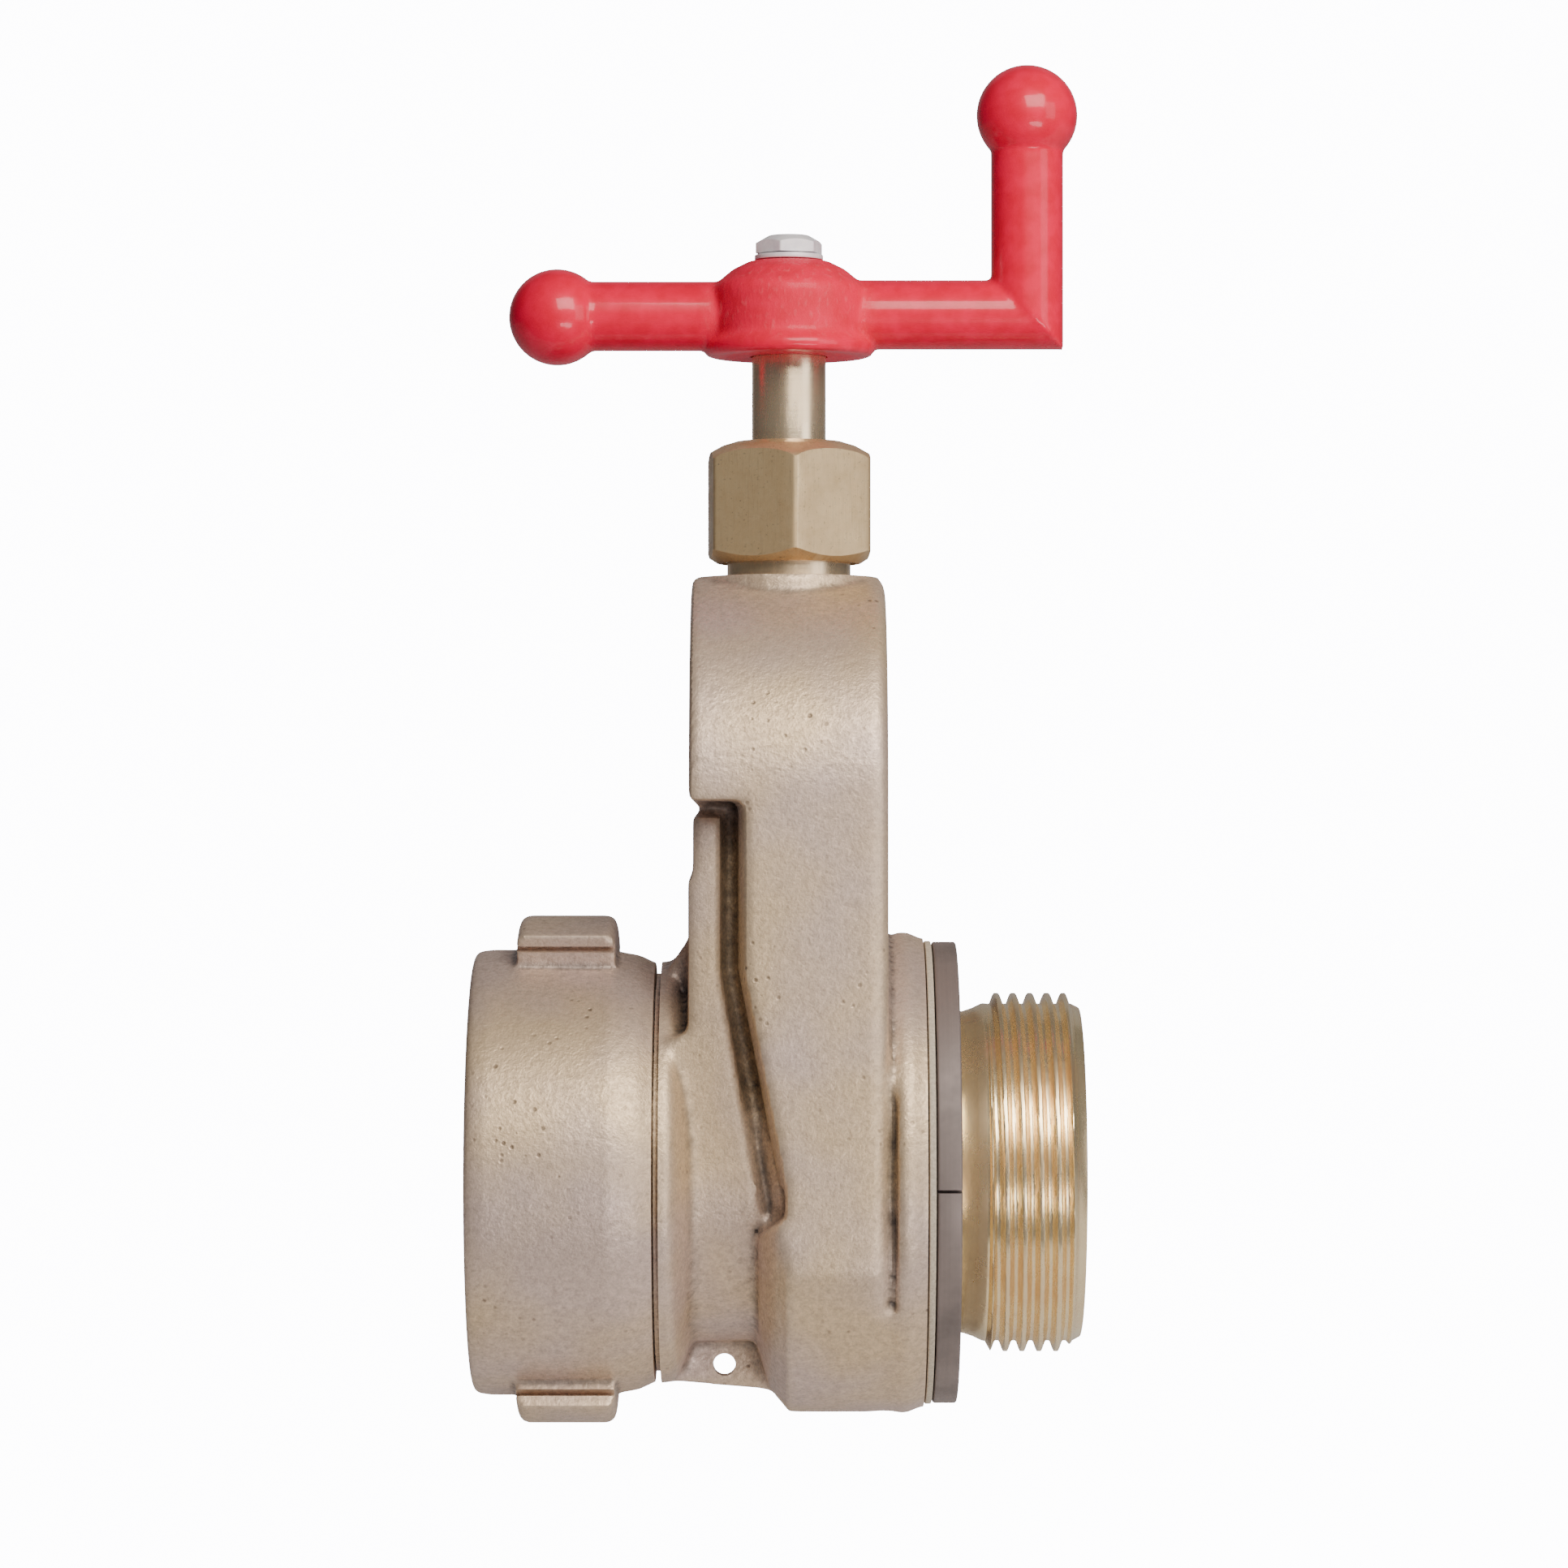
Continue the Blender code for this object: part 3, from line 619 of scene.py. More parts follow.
# %% [markdown]
# ## The swivel coupling
#
# The swivel turns on the body's tail, and a spanner grips its two rocker lugs to screw it onto a hydrant. It is cast
# too, so it takes the same two steps. The lugs are slices of one thick ring, undercut along their ends, where the
# spanner hooks in.

# %% Swivel skin
swivel_profile = [(0, 42.0), (0, 47.3, 1.8), (4, 47.8, 6.0), (30, 47.6, 8.0), (35.5, 46.6, 5.0)]
past_end = swivel_end + 3
swivel = turn(
    "swivel", rounded([*swivel_profile, (past_end, 43.6), (past_end, 42.0)]), segments=192, solid=True
)
LUG_HALF, LUG_TURN = math.radians(24), math.radians(-2)
HOOK_DEPTH, HOOK_TOP, HOOK_BOTTOM = 3.0, 2.5, 4.0
hooks = []
for name, turned_by, crest in (("top_lug", LUG_TURN, 55.2), ("bottom_lug", math.pi + LUG_TURN, 53.7)):
    lug = turn(name, rounded([(9.8, 46), (9.8, crest, 2.2), (30.6, crest, 2.2), (30.6, 46)]), segments=192)
    for side in (-1, 1):
        slice_off(lug, (0, 0, 0), Vector((0, side * math.cos(LUG_HALF), -math.sin(LUG_HALF))))
        hook = block("hook", (8, 33), (-HOOK_DEPTH, HOOK_DEPTH), (crest - HOOK_BOTTOM, crest - HOOK_TOP))
        hooks.append(swing(hook, turned_by - side * LUG_HALF))
    fuse(swivel, swing(lug, turned_by))
melt(swivel, 0.6, 3)
machine(swivel, *hooks, block("swivel_face", (swivel_end, FAR), (-FAR, FAR), (-FAR, FAR)))
print("melted swivel:", len(swivel.data.polygons), "faces")

# %% Bore and thread the swivel
HOSE_PITCH, HOSE_DEPTH = 3.63, 2.2
BEARING_R, WIRE_R = 39.9, 41.7
close_rings = [(1.3 + 0.2 * k, SOCKET_R) for k in range(91)]
race = [(31.2, BEARING_R), (31.2, WIRE_R), (35.4, WIRE_R), (35.4, BEARING_R)]
bore_profile = [
    (-2, 41.9),
    (1.2, SOCKET_R),
    *close_rings,
    (20.0, SOCKET_R),
    (21.3, SOCKET_R),
    (21.3, BEARING_R),
    *race,
    (45, BEARING_R),
]
bore = turn("swivel_bore", bore_profile, segments=144, solid=True)
cut_thread(bore, "X", (1.25, 19.35), (SOCKET_R - HOSE_DEPTH, SOCKET_R), HOSE_PITCH, ramp=1.2)
machine(swivel, bore)
smooth(swivel, 30)
stand_for(swivel, "swivel_coupling")

# %% [markdown]
# ## The outlet
#
# The nipple is turned from bar and screwed into the body. Its neck is polished and its thread is cut on a lathe, so
# every edge has a fine bevel that catches the light as a thin line. The dark ring behind it locks it in place, and a
# pale gasket shows as a thin stripe between the ring and the casting.

# %% Outlet nipple
ROOT_R = 36.2
close_rings = [(109.4 + 0.17 * k, ROOT_R + 0.1) for k in range(112)]
nipple = turn(
    "outlet_nipple",
    [
        *rounded([(88.1, WATERWAY_R), (88.1, SEAT_R), (84.3, SEAT_R), (84.3, 42, 0.5), (88.6, 42, 0.3)]),
        (88.6, 38.3),
        (102.8, 38.3),
        (103.0, 38.1),
        (103.0, 34.4),
        (105.0, 34.6),
        (107.0, 35.3),
        (108.9, ROOT_R),
        *close_rings,
        *rounded([(128.6, ROOT_R), (outlet_end, 35.3, 0.4), (outlet_end, WATERWAY_R, 0.6), (120, WATERWAY_R)])[1:],
        (100, WATERWAY_R),
    ],
    segments=180,
)
cut_thread(nipple, "X", (109.5, 128.3), (ROOT_R, CREST_R), HOSE_PITCH, ramp=1.3, shift=0.55)
smooth(nipple, 40)
stand_for(nipple, "outlet_nipple")

# %% Lock ring and gasket
RING_BORE_R, SPIGOT_R, FLANGE_R, FLANGE_X = 38.8, 44.2, 49.5, 98.3
SLOT_HALF, SLOT_FLOOR, FIRST_SLOT = 0.35, 47.4, 91.5
ring_profile = [
    (ring_start, RING_BORE_R, 0.2),
    (ring_start, SPIGOT_R, 0.2),
    (FLANGE_X, SPIGOT_R),
    (FLANGE_X, FLANGE_R, 0.45),
    (ring_end, FLANGE_R, 0.5),
    (ring_end, RING_BORE_R, 0.4),
]
ring = turn("outlet_lock_ring", rounded(ring_profile), segments=180)
for quarter in range(4):
    slot = block("slot", (FLANGE_X - 0.5, ring_end + 1), (-SLOT_HALF, SLOT_HALF), (SLOT_FLOOR, 52))
    machine(ring, swing(slot, math.radians(FIRST_SLOT + 90 * quarter)))
smooth(ring, 30)
stand_for(ring, "outlet_lock_ring")
low, high = span("body_gasket", "x")
gasket_profile = rounded([(low, 44.9), (low, 49.7, 0.3), (high, 49.7, 0.3), (high, 44.9)])
gasket = turn("body_gasket", gasket_profile, segments=180)
stand_for(smooth(gasket, 40), "body_gasket")

# %% [markdown]
# ## Rings that come off the same lathe
#
# Seats, washers, packing and the rubber washer in the swivel are all plain rings. They differ only in size and in how
# much their edges are rounded, so one table and one loop make them all.

# %% Rings along the waterway and up the stem
CORNER = 0.35
for name, axis, inner, outer, corner in (
    ("inlet_seat_ring", "X", 31.95, 35.1, CORNER),
    ("outlet_seat_ring", "X", 31.95, 35.1, CORNER),
    ("swivel_gasket", "X", 32.25, 39.4, 0.7),
    ("thrust_washer", "Z", 8.4, 11.5, 0.2),
    ("gland_washer", "Z", 8.4, 11.5, 0.2),
    ("packing_ring_1", "Z", 8.3, 11.6, 1.0),
    ("packing_ring_2", "Z", 8.3, 11.6, 1.0),
    ("packing_ring_3", "Z", 8.3, 11.6, 1.0),
    ("gland_follower", "Z", 8.4, 11.5, CORNER),
    ("lock_washer", "Z", 4.5, 7.4, 0.2),
):
    low, high = span(name, axis.lower())
    corners = [(low, inner, corner), (low, outer, corner), (high, outer, corner), (high, inner, corner)]
    centre = (stem_x, 0) if axis == "Z" else (0, 0)
    made = turn(name, rounded(corners), axis, centre, segments=144 if axis == "X" else 72)
    stand_for(smooth(made, 40), name)

# %% Retaining wire and its plug
low, high = span("swivel_wire", "x")
deselect()
bpy.ops.mesh.primitive_torus_add(
    major_segments=160,
    minor_segments=16,
    major_radius=39.7 * MM,
    minor_radius=1.5 * MM,
    location=((low + high) / 2 * MM, 0, 0),
    rotation=TILT["X"],
)
wire = settle(bpy.context.object, "swivel_wire")
machine(wire, block("wire_gap", (30, 37), (30, 50), (-1.2, 1.2)))
stand_for(smooth(wire, 50), "swivel_wire")
screw = bar("wire_plug_screw", 2.6, (42.0, 46.9), "Y", (33.3, 0), segments=48)
machine(screw, block("driver_slot", (28, 38), (45.9, 49), (-0.4, 0.4)))
apply_modifier(screw, "BEVEL", width=0.15 * MM, segments=2, limit_method="ANGLE")
stand_for(smooth(screw), "wire_plug_screw")

# %% [markdown]
# ## Stem, stuffing box and packing nut
#
# The stem turns but never rises. Its left-hand thread lifts the gate when the crank goes anticlockwise. A hexagon
# nut squeezes soft packing round it. The nut is a six-sided bar, chamfered on a lathe at both ends: where the cone
# of the chamfer meets the flats it leaves the curved line that every real nut has.

# %% Stem
SCREW_ROOT, STEM_R, LEAD = 6.35, 7.95, 6.35
stem_rings = [(42.0 + 0.4 * k, SCREW_ROOT) for k in range(187)]
foot_profile = [(38.6, 3.0), (38.6, 5.8, 0.8), (40.5, SCREW_ROOT, 0.5), (41.5, SCREW_ROOT)]
shaft_profile = [
    (117.0, SCREW_ROOT),
    (118.5, STEM_R, 0.5),
    (127.6, STEM_R),
    (127.6, 11.3, 0.3),
    (131.6, 11.3, 0.3),
    (131.6, STEM_R),
    (176.4, STEM_R, 0.5),
    (177.0, 7.3),
    (177.0, 4.1),
]
stem_profile = [*rounded(foot_profile), *stem_rings, *rounded(shaft_profile)[1:]]
stem = turn("stem", stem_profile, "Z", (stem_x, 0), segments=96, solid=True)
cut_thread(stem, "Z", (42.5, 116.4), (SCREW_ROOT, STEM_R), LEAD, centre=(stem_x, 0), hand=-1)
square = block("square", (stem_x - 5.5, stem_x + 5.5), (-5.5, 5.5), (175, 191.6))
apply_modifier(square, "BEVEL", width=0.8 * MM, segments=3)
fuse(stem, square)
machine(stem, bar("tapped_hole", 4.1, (172.5, 195), "Z", (stem_x, 0), segments=48))
stand_for(smooth(stem, 40), "stem")

# %% Stuffing box
relief_r, gland_top = 13.3, 150.0
stuffing_profile = [
    (121.5, 8.35, 0.3),
    (121.5, 14.9, 0.5),
    (housing_top - 0.3, 14.9, 0.3),
    (housing_top - 0.3, relief_r),
    (housing_top + 3.4, relief_r),
    (housing_top + 3.4, 14.1, 0.3),
    (gland_top, 14.1, 0.6),
    (gland_top, 11.9, 0.3),
    (125.5, 11.9),
    (125.5, 8.35, 0.2),
]
stuffing = turn("stuffing_box", rounded(stuffing_profile), "Z", (stem_x, 0), segments=120)
stand_for(smooth(stuffing, 40), "stuffing_box")


# %% Hexagons
def hexagon(name, across_flats, ends, turned_by, corner):
    """A hexagon bar up the stem's line, its six corners broken by a small bevel."""
    deselect()
    bpy.ops.mesh.primitive_cylinder_add(
        vertices=6,
        radius=across_flats / 2 / math.cos(math.pi / 6) * MM,
        depth=(ends[1] - ends[0]) * MM,
        location=(stem_x * MM, 0, sum(ends) / 2 * MM),
        rotation=(0, 0, math.radians(turned_by)),
    )
    made = settle(bpy.context.object, name)
    return round_edges(made, lambda edge: abs((edge.verts[0].co - edge.verts[1].co).normalized().z) > 0.99, corner)


def turned_blank(name, profile):
    """A solid turned about the stem's line, for a hexagon to be cut down to."""
    return turn(name, rounded(profile), "Z", (stem_x, 0), segments=144, solid=True)


COLLAR_SHOWS = 1.6  # the nut stops short of the boss, so a thin collar of the stuffing box shows
nut_low, nut_high = span("packing_nut", "z")
nut_low += COLLAR_SHOWS
nut = hexagon("packing_nut", 33.9, (nut_low, nut_high), 4.0, 0.9)
nut_shape = [
    (nut_low, 14.6),
    (nut_low, 15.4, 0.4),
    (nut_low + 2.9, 20.0, 1.5),
    (nut_high - 4.0, 20.0, 4.0),
    (nut_high - 0.9, 14.5, 2.0),
    (nut_high, 11.6, 0.6),
    (nut_high, 9),
]
keep_inside(nut, turned_blank("nut_shape", nut_shape))
machine(
    nut,
    bar("nut_thread", 14.5, (120, 153), "Z", (stem_x, 0), segments=96),
    bar("nut_hole", 8.4, (150, 165), "Z", (stem_x, 0), segments=96),
)
stand_for(smooth(nut, 28), "packing_nut")

# %% [markdown]
# ## The crank
#
# The crank is one casting: a hub, a short arm with a ball, and a long arm that turns up into a grip with a second
# ball. Thick gloss paint rounds its inside corners further. It is melted like the body, with a finer grain.

# %% Crank
crank_low = 175.6
ARM_Z, ARM_R, GRIP_R = 184.4, 7.5, 7.8
hub_top = 196.2
grip_x, left_ball_x = stem_x + 51.4, stem_x - 50.0
grip_ball_z, left_ball_r, grip_ball_r = 227.8, 10.4, 10.9
hub_profile = [
    (crank_low, 14),
    (crank_low, 18.3, 1.4),
    (178.2, 18.2, 1.2),
    (180.2, 16.5, 2.0),
    (190.4, 17.0, 3.5),
    (194.4, 12.2, 4.0),
    (hub_top, 8.6, 1.0),
    (hub_top, 5),
]
hub = turn("hub", rounded(hub_profile), "Z", (stem_x, 0), solid=True)
left_arm = bar("left_arm", ARM_R, (left_ball_x, stem_x - 4), "X", (0, ARM_Z), segments=72)
right_arm = bar("right_arm", ARM_R, (stem_x + 4, grip_x + 12), "X", (0, ARM_Z + 0.3), segments=72)
grip = bar("grip", GRIP_R, (ARM_Z - 12, grip_ball_z), "Z", (grip_x, 0), segments=72)
mitre = (grip_x, 0, ARM_Z + 0.3)
slice_off(right_arm, mitre, Vector((1, 0, 1)).normalized())
slice_off(grip, mitre, Vector((-1, 0, -1)).normalized())
fuse(hub, left_arm, right_arm, grip)
for place, radius in (((left_ball_x, ARM_Z - 0.2), left_ball_r), ((grip_x, grip_ball_z), grip_ball_r)):
    deselect()
    bpy.ops.mesh.primitive_uv_sphere_add(
        segments=72, ring_count=40, radius=radius * MM, location=(place[0] * MM, 0, place[1] * MM)
    )
    fuse(hub, settle(bpy.context.object, "ball"))
crank = melt(hub, 0.55, 5)
HOLE_HALF = 5.85
machine(
    crank,
    block("square_hole", (stem_x - HOLE_HALF, stem_x + HOLE_HALF), (-HOLE_HALF, HOLE_HALF), (170, 192.2)),
    bar("stem_clearance", 8.4, (170, 177.6), "Z", (stem_x, 0), segments=72),
    bar("bolt_hole", 4.5, (185, 205), "Z", (stem_x, 0), segments=48),
)
stand_for(smooth(crank, 40), "crank_handle")

# %% Bolt
bolt_low, bolt_high = span("handle_bolt", "z")
head_low = span("lock_washer", "z")[1] + 0.3
bolt = hexagon("handle_bolt", 13.0, (head_low, bolt_high), -14.5, 0.3)
crown = [
    (head_low, 6.2),
    (head_low, 7.3, 0.3),
    (head_low + 0.4, 8.2, 0.2),
    (head_low + 1.7, 8.2, 0.6),
    (bolt_high - 0.8, 4.4, 0.8),
    (bolt_high - 0.6, 0.5),
]
keep_inside(bolt, turned_blank("crown", crown))
fuse(bolt, bar("shank", 3.7, (bolt_low, head_low + 0.5), "Z", (stem_x, 0), segments=48))
stand_for(smooth(bolt, 28), "handle_bolt")

# %% [markdown]
# ## Gate and stem nut
#
# The gate slides up out of the waterway. It is a round plate with two guide ears and two shelves, and the stem nut
# sits between the shelves. None of this shows until the valve is opened.

# %% Gate
gate_low, gate_high = 76.0, 83.6
gate = bar("gate", 35.6, (gate_low, gate_high), "X", (0, 0), segments=144)
for name, x, y, z in (
    ("guides", (gate_low + 1.5, gate_high - 1.5), (-40.5, 40.5), (-12, 10)),
    ("web", (gate_low + 2.6, gate_high - 0.4), (-14, 14), (20, 49.4)),
    ("lower_shelf", (55.6, gate_high - 1), (-13.4, 13.4), (38.0, 40.4)),
    ("upper_shelf", (55.6, gate_high - 1), (-13.4, 13.4), (47.0, 49.2)),
):
    fuse(gate, block(name, x, y, z))
machine(gate, bar("shelf_holes", 8.7, (37, 60), "Z", (stem_x, 0), segments=48))
sharp = {"segments": 2, "limit_method": "ANGLE", "angle_limit": math.radians(50)}
apply_modifier(gate, "BEVEL", width=0.3 * MM, **sharp)
stand_for(smooth(gate), "gate")
stem_nut = block("stem_nut", (56.4, gate_low + 2.2), (-12, 12), (40.7, 46.7))
machine(stem_nut, bar("nut_bore", 8.35, (35, 55), "Z", (stem_x, 0), segments=72))
apply_modifier(stem_nut, "BEVEL", width=0.4 * MM, **sharp)
stand_for(smooth(stem_nut), "stem_nut")

# %% [markdown]
# ## Finishes
#
# Every finish is built from nodes. Three effects turn up in more than one of them, so each is a node group with its
# own inputs: the grain that a sand mould leaves, the rubbed edges of a used casting with its dark corners, which are
# partly dirt and partly painted shade, and the fine rings that a lathe tool leaves.


# %% Node helpers
def put(tree, kind, inputs=None, **settings):
    """Adds a node; an input is either a value or another node's output to link."""
    made = tree.nodes.new("ShaderNode" + kind)
    for key, value in settings.items():
        setattr(made, key, value)
    for key, value in (inputs or {}).items():
        if isinstance(value, bpy.types.NodeSocket):
            tree.links.new(value, made.inputs[key])
        else:
            made.inputs[key].default_value = value
    return made


def calc(tree, operation, a, b=0.0, clamp=False):
    """One sum; times, below, is the sum that turns up most."""
    return put(tree, "Math", {0: a, 1: b}, operation=operation, use_clamp=clamp).outputs[0]


def times(tree, a, b, clamp=False):
    return calc(tree, "MULTIPLY", a, b, clamp)


def rescale(tree, value, low, high, to_low=0.0, to_high=1.0):
    """Stretches low..high to to_low..to_high, and holds what lies outside."""
    values = {"Value": value, "From Min": low, "From Max": high, "To Min": to_low, "To Max": to_high}
    return put(tree, "MapRange", values).outputs[0]


def noise(tree, vector, scale, detail=2.0, roughness=0.5):
    values = {"Vector": vector, "Scale": scale, "Detail": detail, "Roughness": roughness}
    return put(tree, "TexNoise", values).outputs[0]


def mix(tree, factor, a, b, blend_type="MIX"):
    return put(tree, "Mix", {0: factor, 6: a, 7: b}, data_type="RGBA", blend_type=blend_type).outputs[2]


def linear(red, green, blue):
    """A screen colour, 0 to 255, as the linear colour that shaders use."""
    parts = [v / 255 for v in (red, green, blue)]
    return (*(v / 12.92 if v <= 0.04045 else ((v + 0.055) / 1.055) ** 2.4 for v in parts), 1)


def new_group(name, inputs, outputs):
    """An empty shader group: the group itself, what comes in, and what has to go out."""
    group = bpy.data.node_groups.new(name, "ShaderNodeTree")
    for label, kind, value in inputs:
        made = group.interface.new_socket(label, in_out="INPUT", socket_type="NodeSocket" + kind)
        if value is not None:
            made.default_value = value
    for label in outputs:
        group.interface.new_socket(label, in_out="OUTPUT", socket_type="NodeSocketFloat")
    source = group.nodes.new("NodeGroupInput")
    sink = group.nodes.new("NodeGroupOutput")
    return group, source.outputs, sink.inputs


def use(tree, group, inputs):
    """Places a group in a material and returns its outputs."""
    placed = tree.nodes.new("ShaderNodeGroup")
    placed.node_tree = group
    for key, value in inputs.items():
        if isinstance(value, bpy.types.NodeSocket):
            tree.links.new(value, placed.inputs[key])
        else:
            placed.inputs[key].default_value = value
    return placed.outputs


# %% Group: sand grain
sand_grain, into, out = new_group(
    "sand_grain",
    [("Vector", "Vector", None), ("Grains per metre", "Float", 1800.0), ("Pits", "Float", 0.5)],
    ["Height", "Speckle", "Pits", "Tone"],
)
tree, vector, size = sand_grain, into["Vector"], into["Grains per metre"]
fine = noise(tree, vector, size, 2.0, 0.6)
lumps = noise(tree, vector, times(tree, size, 0.4), 3.0, 0.6)
tone = noise(tree, vector, times(tree, size, 0.018), 2.0, 0.5)
cells = put(tree, "TexVoronoi", {"Vector": vector, "Scale": times(tree, size, 0.2)}).outputs["Distance"]
patch = noise(tree, vector, times(tree, size, 0.035), 1.0, 0.5)
sparse = rescale(tree, patch, 0.5, 0.72)
pits = times(tree, rescale(tree, cells, 0.2, 0.08), sparse)
pits = times(tree, pits, into["Pits"], clamp=True)
height = calc(tree, "ADD", times(tree, fine, 0.5), times(tree, lumps, 0.9))
height = calc(tree, "SUBTRACT", height, pits)
speckle = calc(tree, "ADD", times(tree, fine, 0.5), times(tree, lumps, 0.5))
for label, value in (("Height", height), ("Speckle", speckle), ("Pits", pits), ("Tone", tone)):
    tree.links.new(value, out[label])
print("sand_grain:", len(tree.nodes), "nodes")

# %% Group: rubbed edges, and dirt with painted shade in corners
rubbed_edges_and_corner_shade, into, out = new_group(
    "rubbed_edges_and_corner_shade", [("Vector", "Vector", None), ("Reach", "Float", 0.06)], ["Rubbed", "Dirt_and_painted_shade"]
)
tree = rubbed_edges_and_corner_shade
point = put(tree, "NewGeometry").outputs["Pointiness"]
rough_rim = noise(tree, into["Vector"], 420.0, 3.0, 0.6)
jitter = times(tree, calc(tree, "SUBTRACT", rough_rim, 0.5), 0.05)
point = calc(tree, "ADD", point, jitter)
reach = into["Reach"]
upper = calc(tree, "ADD", 0.505, reach)
lower = calc(tree, "SUBTRACT", 0.495, reach)
tree.links.new(rescale(tree, point, 0.505, upper), out["Rubbed"])
# The second mask darkens concave corners and creases: partly dirt, partly painted shade for the shade that falls
# there.
tree.links.new(rescale(tree, point, 0.495, lower), out["Dirt_and_painted_shade"])
print("rubbed_edges_and_corner_shade:", len(tree.nodes), "nodes")

# %% Group: lathe marks
lathe_marks, into, out = new_group(
    "lathe_marks", [("Place", "Float", 0.0), ("Marks per metre", "Float", 4000.0)], ["Height"]
)
along_axis = {"W": into["Place"], "Scale": into["Marks per metre"], "Detail": 3.0}
fine = put(lathe_marks, "TexNoise", along_axis, noise_dimensions="1D").outputs[0]
lathe_marks.links.new(fine, out["Height"])
print("lathe_marks:", len(lathe_marks.nodes), "nodes")


# %% A new finish
def new_finish(name, roughness, metallic):
    """An empty material: its tree, its shader, and object coordinates to build on."""
    made = bpy.data.materials.new(name)
    made.use_nodes = True
    tree = made.node_tree
    shader = tree.nodes["Principled BSDF"]
    shader.inputs["Roughness"].default_value = roughness
    shader.inputs["Metallic"].default_value = metallic
    coords = put(tree, "TexCoord").outputs["Object"]
    return made, tree, shader, coords


def bumpy(tree, shader, height, strength, distance):
    """distance is the depth of the relief in millimetres."""
    bump = put(tree, "Bump", {"Height": height, "Strength": strength, "Distance": distance * MM})
    tree.links.new(bump.outputs[0], shader.inputs["Normal"])


def squash(tree, coords, by):
    """Coordinates that run slower up Z, so that a noise turns into upright streaks."""
    return put(tree, "Mapping", {0: coords, "Scale": (1, 1, by)}).outputs[0]


def drive(tree, shader, **sockets):
    """Links values to the shader's sockets; base_color stands for Base Color, and so on."""
    for name, value in sockets.items():
        tree.links.new(value, shader.inputs[name.replace("_", " ").title()])


# %% [markdown]
# ### Sand-cast bronze
#
# Bronze comes out of the sand a dull pinkish tan. Close up it is a field of tiny bright and dark grains with a few
# pits, and it turns greyer and darker in its corners, partly from dirt where hands and grit never polish it and
# partly as painted shade.

# %% Cast bronze
cast_bronze, tree, shader, coords = new_finish("cast_bronze", 0.5, 0.52)
grain = use(tree, sand_grain, {"Vector": coords, "Grains per metre": 1700.0, "Pits": 1.0})
edges = use(tree, rubbed_edges_and_corner_shade, {"Vector": coords, "Reach": 0.05})
pinkish, golden = linear(208, 186, 174), linear(214, 189, 155)
colour = mix(tree, rescale(tree, grain["Tone"], 0.38, 0.62), pinkish, golden)
speckle = rescale(tree, grain["Speckle"], 0.32, 0.68, 0.74, 1.2)
grey = put(tree, "CombineColor", {0: speckle, 1: speckle, 2: speckle}).outputs[0]
colour = mix(tree, 1.0, colour, grey, "MULTIPLY")
# Concave corners turn dark grey: partly dirt, partly painted shade for the shade that falls in them.
colour = mix(tree, times(tree, edges["Dirt_and_painted_shade"], 0.9), colour, linear(70, 65, 64))
colour = mix(tree, times(tree, edges["Rubbed"], 0.45), colour, linear(226, 204, 178))
colour = mix(tree, times(tree, grain["Pits"], 0.65), colour, linear(70, 52, 44))
rough = rescale(tree, grain["Speckle"], 0.3, 0.7, 0.54, 0.38)
drive(tree, shader, base_color=colour, roughness=rough)
bumpy(tree, shader, grain["Height"], 0.6, 0.24)

# %% [markdown]
# ### Bright brass, nut brass and the dark ring
#
# The outlet, the stem and the ring are cut on a lathe, so each has fine rings along its own axis. The outlet and the
# stem are polished, and the ring has a brown oxide skin. The nut is drawn bar that spanners have gripped.


# %% Turned brasses
def turned_metal(name, axis, colour, shade, roughness, spacing, depth):
    """A turned finish: rings along an axis, a slow change of shade, and fine scratches."""
    made, tree, shader, coords = new_finish(name, roughness, 0.88)
    parts = put(tree, "SeparateXYZ", {0: coords}).outputs
    rings = use(tree, lathe_marks, {"Place": parts[axis], "Marks per metre": spacing})["Height"]
    stain = noise(tree, coords, 55.0, 4.0, 0.6)
    mark = noise(tree, squash(tree, coords, 0.12), 900.0, 2.0, 0.7)
    tint = mix(tree, rescale(tree, stain, 0.4, 0.68), colour, shade)
    tint = mix(tree, rescale(tree, rings, 0.3, 0.75, 0.0, 0.35), tint, shade)
    rough = calc(tree, "ADD", rescale(tree, stain, 0.35, 0.7, -0.05, 0.1), roughness)
    rough = calc(tree, "ADD", rough, rescale(tree, mark, 0.5, 0.75, 0.0, 0.06))
    drive(tree, shader, base_color=tint, roughness=rough)
    bumpy(tree, shader, rings, 0.9, depth)
    return made


bright_brass = turned_metal("bright_brass", "X", linear(253, 234, 190), linear(240, 212, 168), 0.24, 1300.0, 0.008)
stem_brass = turned_metal("stem_brass", "Z", linear(253, 234, 200), linear(240, 214, 176), 0.25, 1500.0, 0.008)
dark_ring = turned_metal("dark_ring", "X", linear(138, 125, 121), linear(114, 104, 101), 0.5, 2000.0, 0.01)
dark_ring.node_tree.nodes["Principled BSDF"].inputs["Metallic"].default_value = 0.35

# %% Nut brass
nut_brass, tree, shader, coords = new_finish("nut_brass", 0.36, 0.6)
edges = use(tree, rubbed_edges_and_corner_shade, {"Vector": coords, "Reach": 0.08})
stain = noise(tree, coords, 120.0, 5.0, 0.65)
drawn = noise(tree, squash(tree, coords, 0.05), 2400.0, 3.0, 0.7)
speck = noise(tree, coords, 1500.0, 2.0, 0.6)
colour = mix(tree, rescale(tree, stain, 0.35, 0.7), linear(214, 184, 138), linear(186, 156, 114))
colour = mix(tree, rescale(tree, drawn, 0.55, 0.8, 0.0, 0.5), colour, linear(120, 96, 70))
colour = mix(tree, rescale(tree, speck, 0.62, 0.75, 0.0, 0.6), colour, linear(92, 74, 56))
colour = mix(tree, times(tree, edges["Rubbed"], 0.6), colour, linear(236, 216, 176))
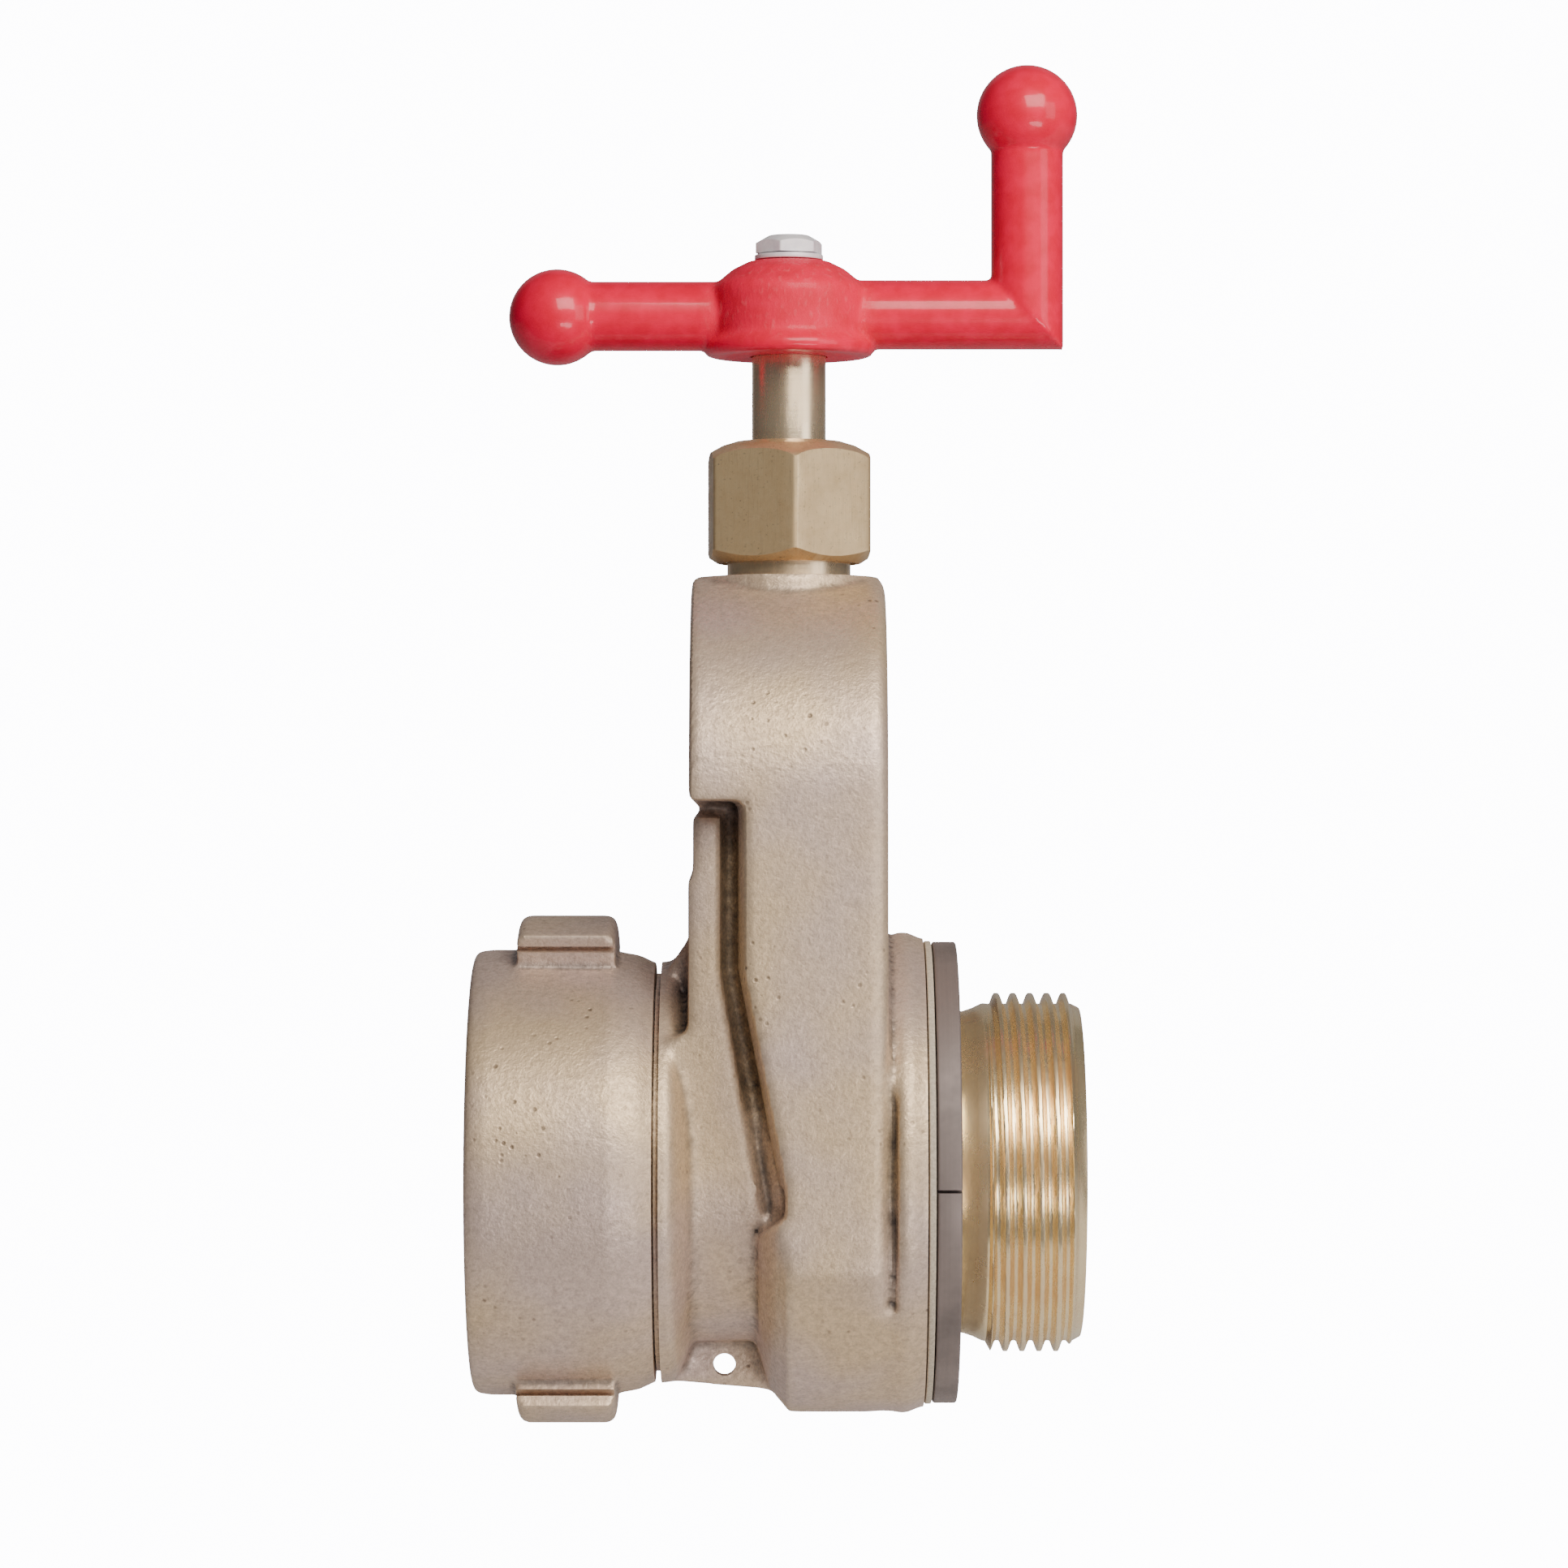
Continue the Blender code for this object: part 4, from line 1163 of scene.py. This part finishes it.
rough = rescale(tree, stain, 0.3, 0.7, 0.26, 0.5)
drive(tree, shader, base_color=colour, roughness=rough)
bumpy(tree, shader, calc(tree, "ADD", drawn, times(tree, stain, 0.8)), 0.4, 0.05)

# %% [markdown]
# ### Gloss paint
#
# Thick red enamel flows smooth on the arms and balls, and stays lumpy on the hub, where the casting under it is
# coarse. A clear coat over a saturated base gives the small sharp highlights.

# %% Red enamel
red_enamel, tree, shader, coords = new_finish("red_enamel", 0.28, 0.0)
shader.inputs["Specular IOR Level"].default_value = 0.2
shader.inputs["Coat Roughness"].default_value = 0.1
shader.inputs["Coat IOR"].default_value = 1.5
hub_middle = (stem_x * MM, 0, 0.186)
centred = put(tree, "Mapping", {0: coords, "Location": [-v for v in hub_middle]}).outputs[0]
from_hub = put(tree, "VectorMath", {0: centred}, operation="LENGTH").outputs["Value"]
on_hub = rescale(tree, from_hub, 0.021, 0.0165)
flow = noise(tree, coords, 260.0, 2.0, 0.5)
coarse = noise(tree, squash(tree, coords, 0.45), 900.0, 3.0, 0.6)
lumpy = calc(tree, "ADD", times(tree, flow, 0.5), times(tree, times(tree, coarse, on_hub), 1.6))
worn = times(tree, rescale(tree, coarse, 0.55, 0.75), on_hub)
colour = mix(tree, rescale(tree, flow, 0.35, 0.65), linear(246, 0, 68), linear(230, 0, 56))
colour = mix(tree, times(tree, on_hub, 0.12), colour, linear(240, 84, 98))
colour = mix(tree, times(tree, worn, 0.35), colour, linear(244, 120, 128))
rough = rescale(tree, on_hub, 0.0, 1.0, 0.32, 0.55)
coat = rescale(tree, on_hub, 0.0, 1.0, 0.4, 0.06)
drive(tree, shader, base_color=colour, roughness=rough, coat_weight=coat)
bumpy(tree, shader, lumpy, 0.5, 0.18)

# %% Steel, rubber, packing and fibre
bright_steel, tree, shader, coords = new_finish("bright_steel", 0.4, 0.15)
smear = noise(tree, coords, 350.0, 4.0, 0.6)
drive(
    tree,
    shader,
    base_color=mix(tree, rescale(tree, smear, 0.35, 0.7), linear(255, 252, 255), linear(232, 228, 236)),
    roughness=rescale(tree, smear, 0.3, 0.7, 0.34, 0.5),
)
bumpy(tree, shader, smear, 0.3, 0.03)


def plain_grain(name, light, dark, roughness, per_metre, depth):
    """A dull finish: two shades of one colour in a fine grain."""
    made, tree, shader, coords = new_finish(name, roughness, 0.0)
    speck = noise(tree, coords, per_metre, 4.0, 0.65)
    drive(tree, shader, base_color=mix(tree, rescale(tree, speck, 0.35, 0.65), light, dark))
    bumpy(tree, shader, speck, 0.5, depth)
    return made


black_rubber = plain_grain("black_rubber", linear(46, 45, 45), linear(30, 29, 29), 0.65, 900.0, 0.05)
graphite_packing = plain_grain("graphite_packing", linear(86, 84, 82), linear(50, 49, 48), 0.7, 1400.0, 0.12)
gasket_paper = plain_grain("gasket_paper", linear(208, 196, 176), linear(178, 166, 146), 0.75, 1800.0, 0.05)

# %% [markdown]
# ### Who wears what
#
# Most pieces take the finish of their slot. The stem and what sits round it are turned about Z and not about X, so
# they have their own brass.

# %% Put the finishes on
finish_of_slot = {
    "cast_brass": cast_bronze,
    "machined_brass": bright_brass,
    "nut_brass": nut_brass,
    "dark_brass": dark_ring,
    "red_paint": red_enamel,
    "steel": bright_steel,
    "rubber": black_rubber,
    "packing": graphite_packing,
    "gasket_fibre": gasket_paper,
}
turned_about_z = {"stem", "stuffing_box", "gland_follower"}
for node, slot in slot_of.items():
    finish = stem_brass if node in turned_about_z else finish_of_slot[slot]
    for piece in (nodes[node], bpy.data.objects.get(node + "_skin")):
        if piece:
            piece.data.materials.clear()
            piece.data.materials.append(finish)
print("finishes:", sorted({finish.name for finish in finish_of_slot.values()} | {stem_brass.name}))
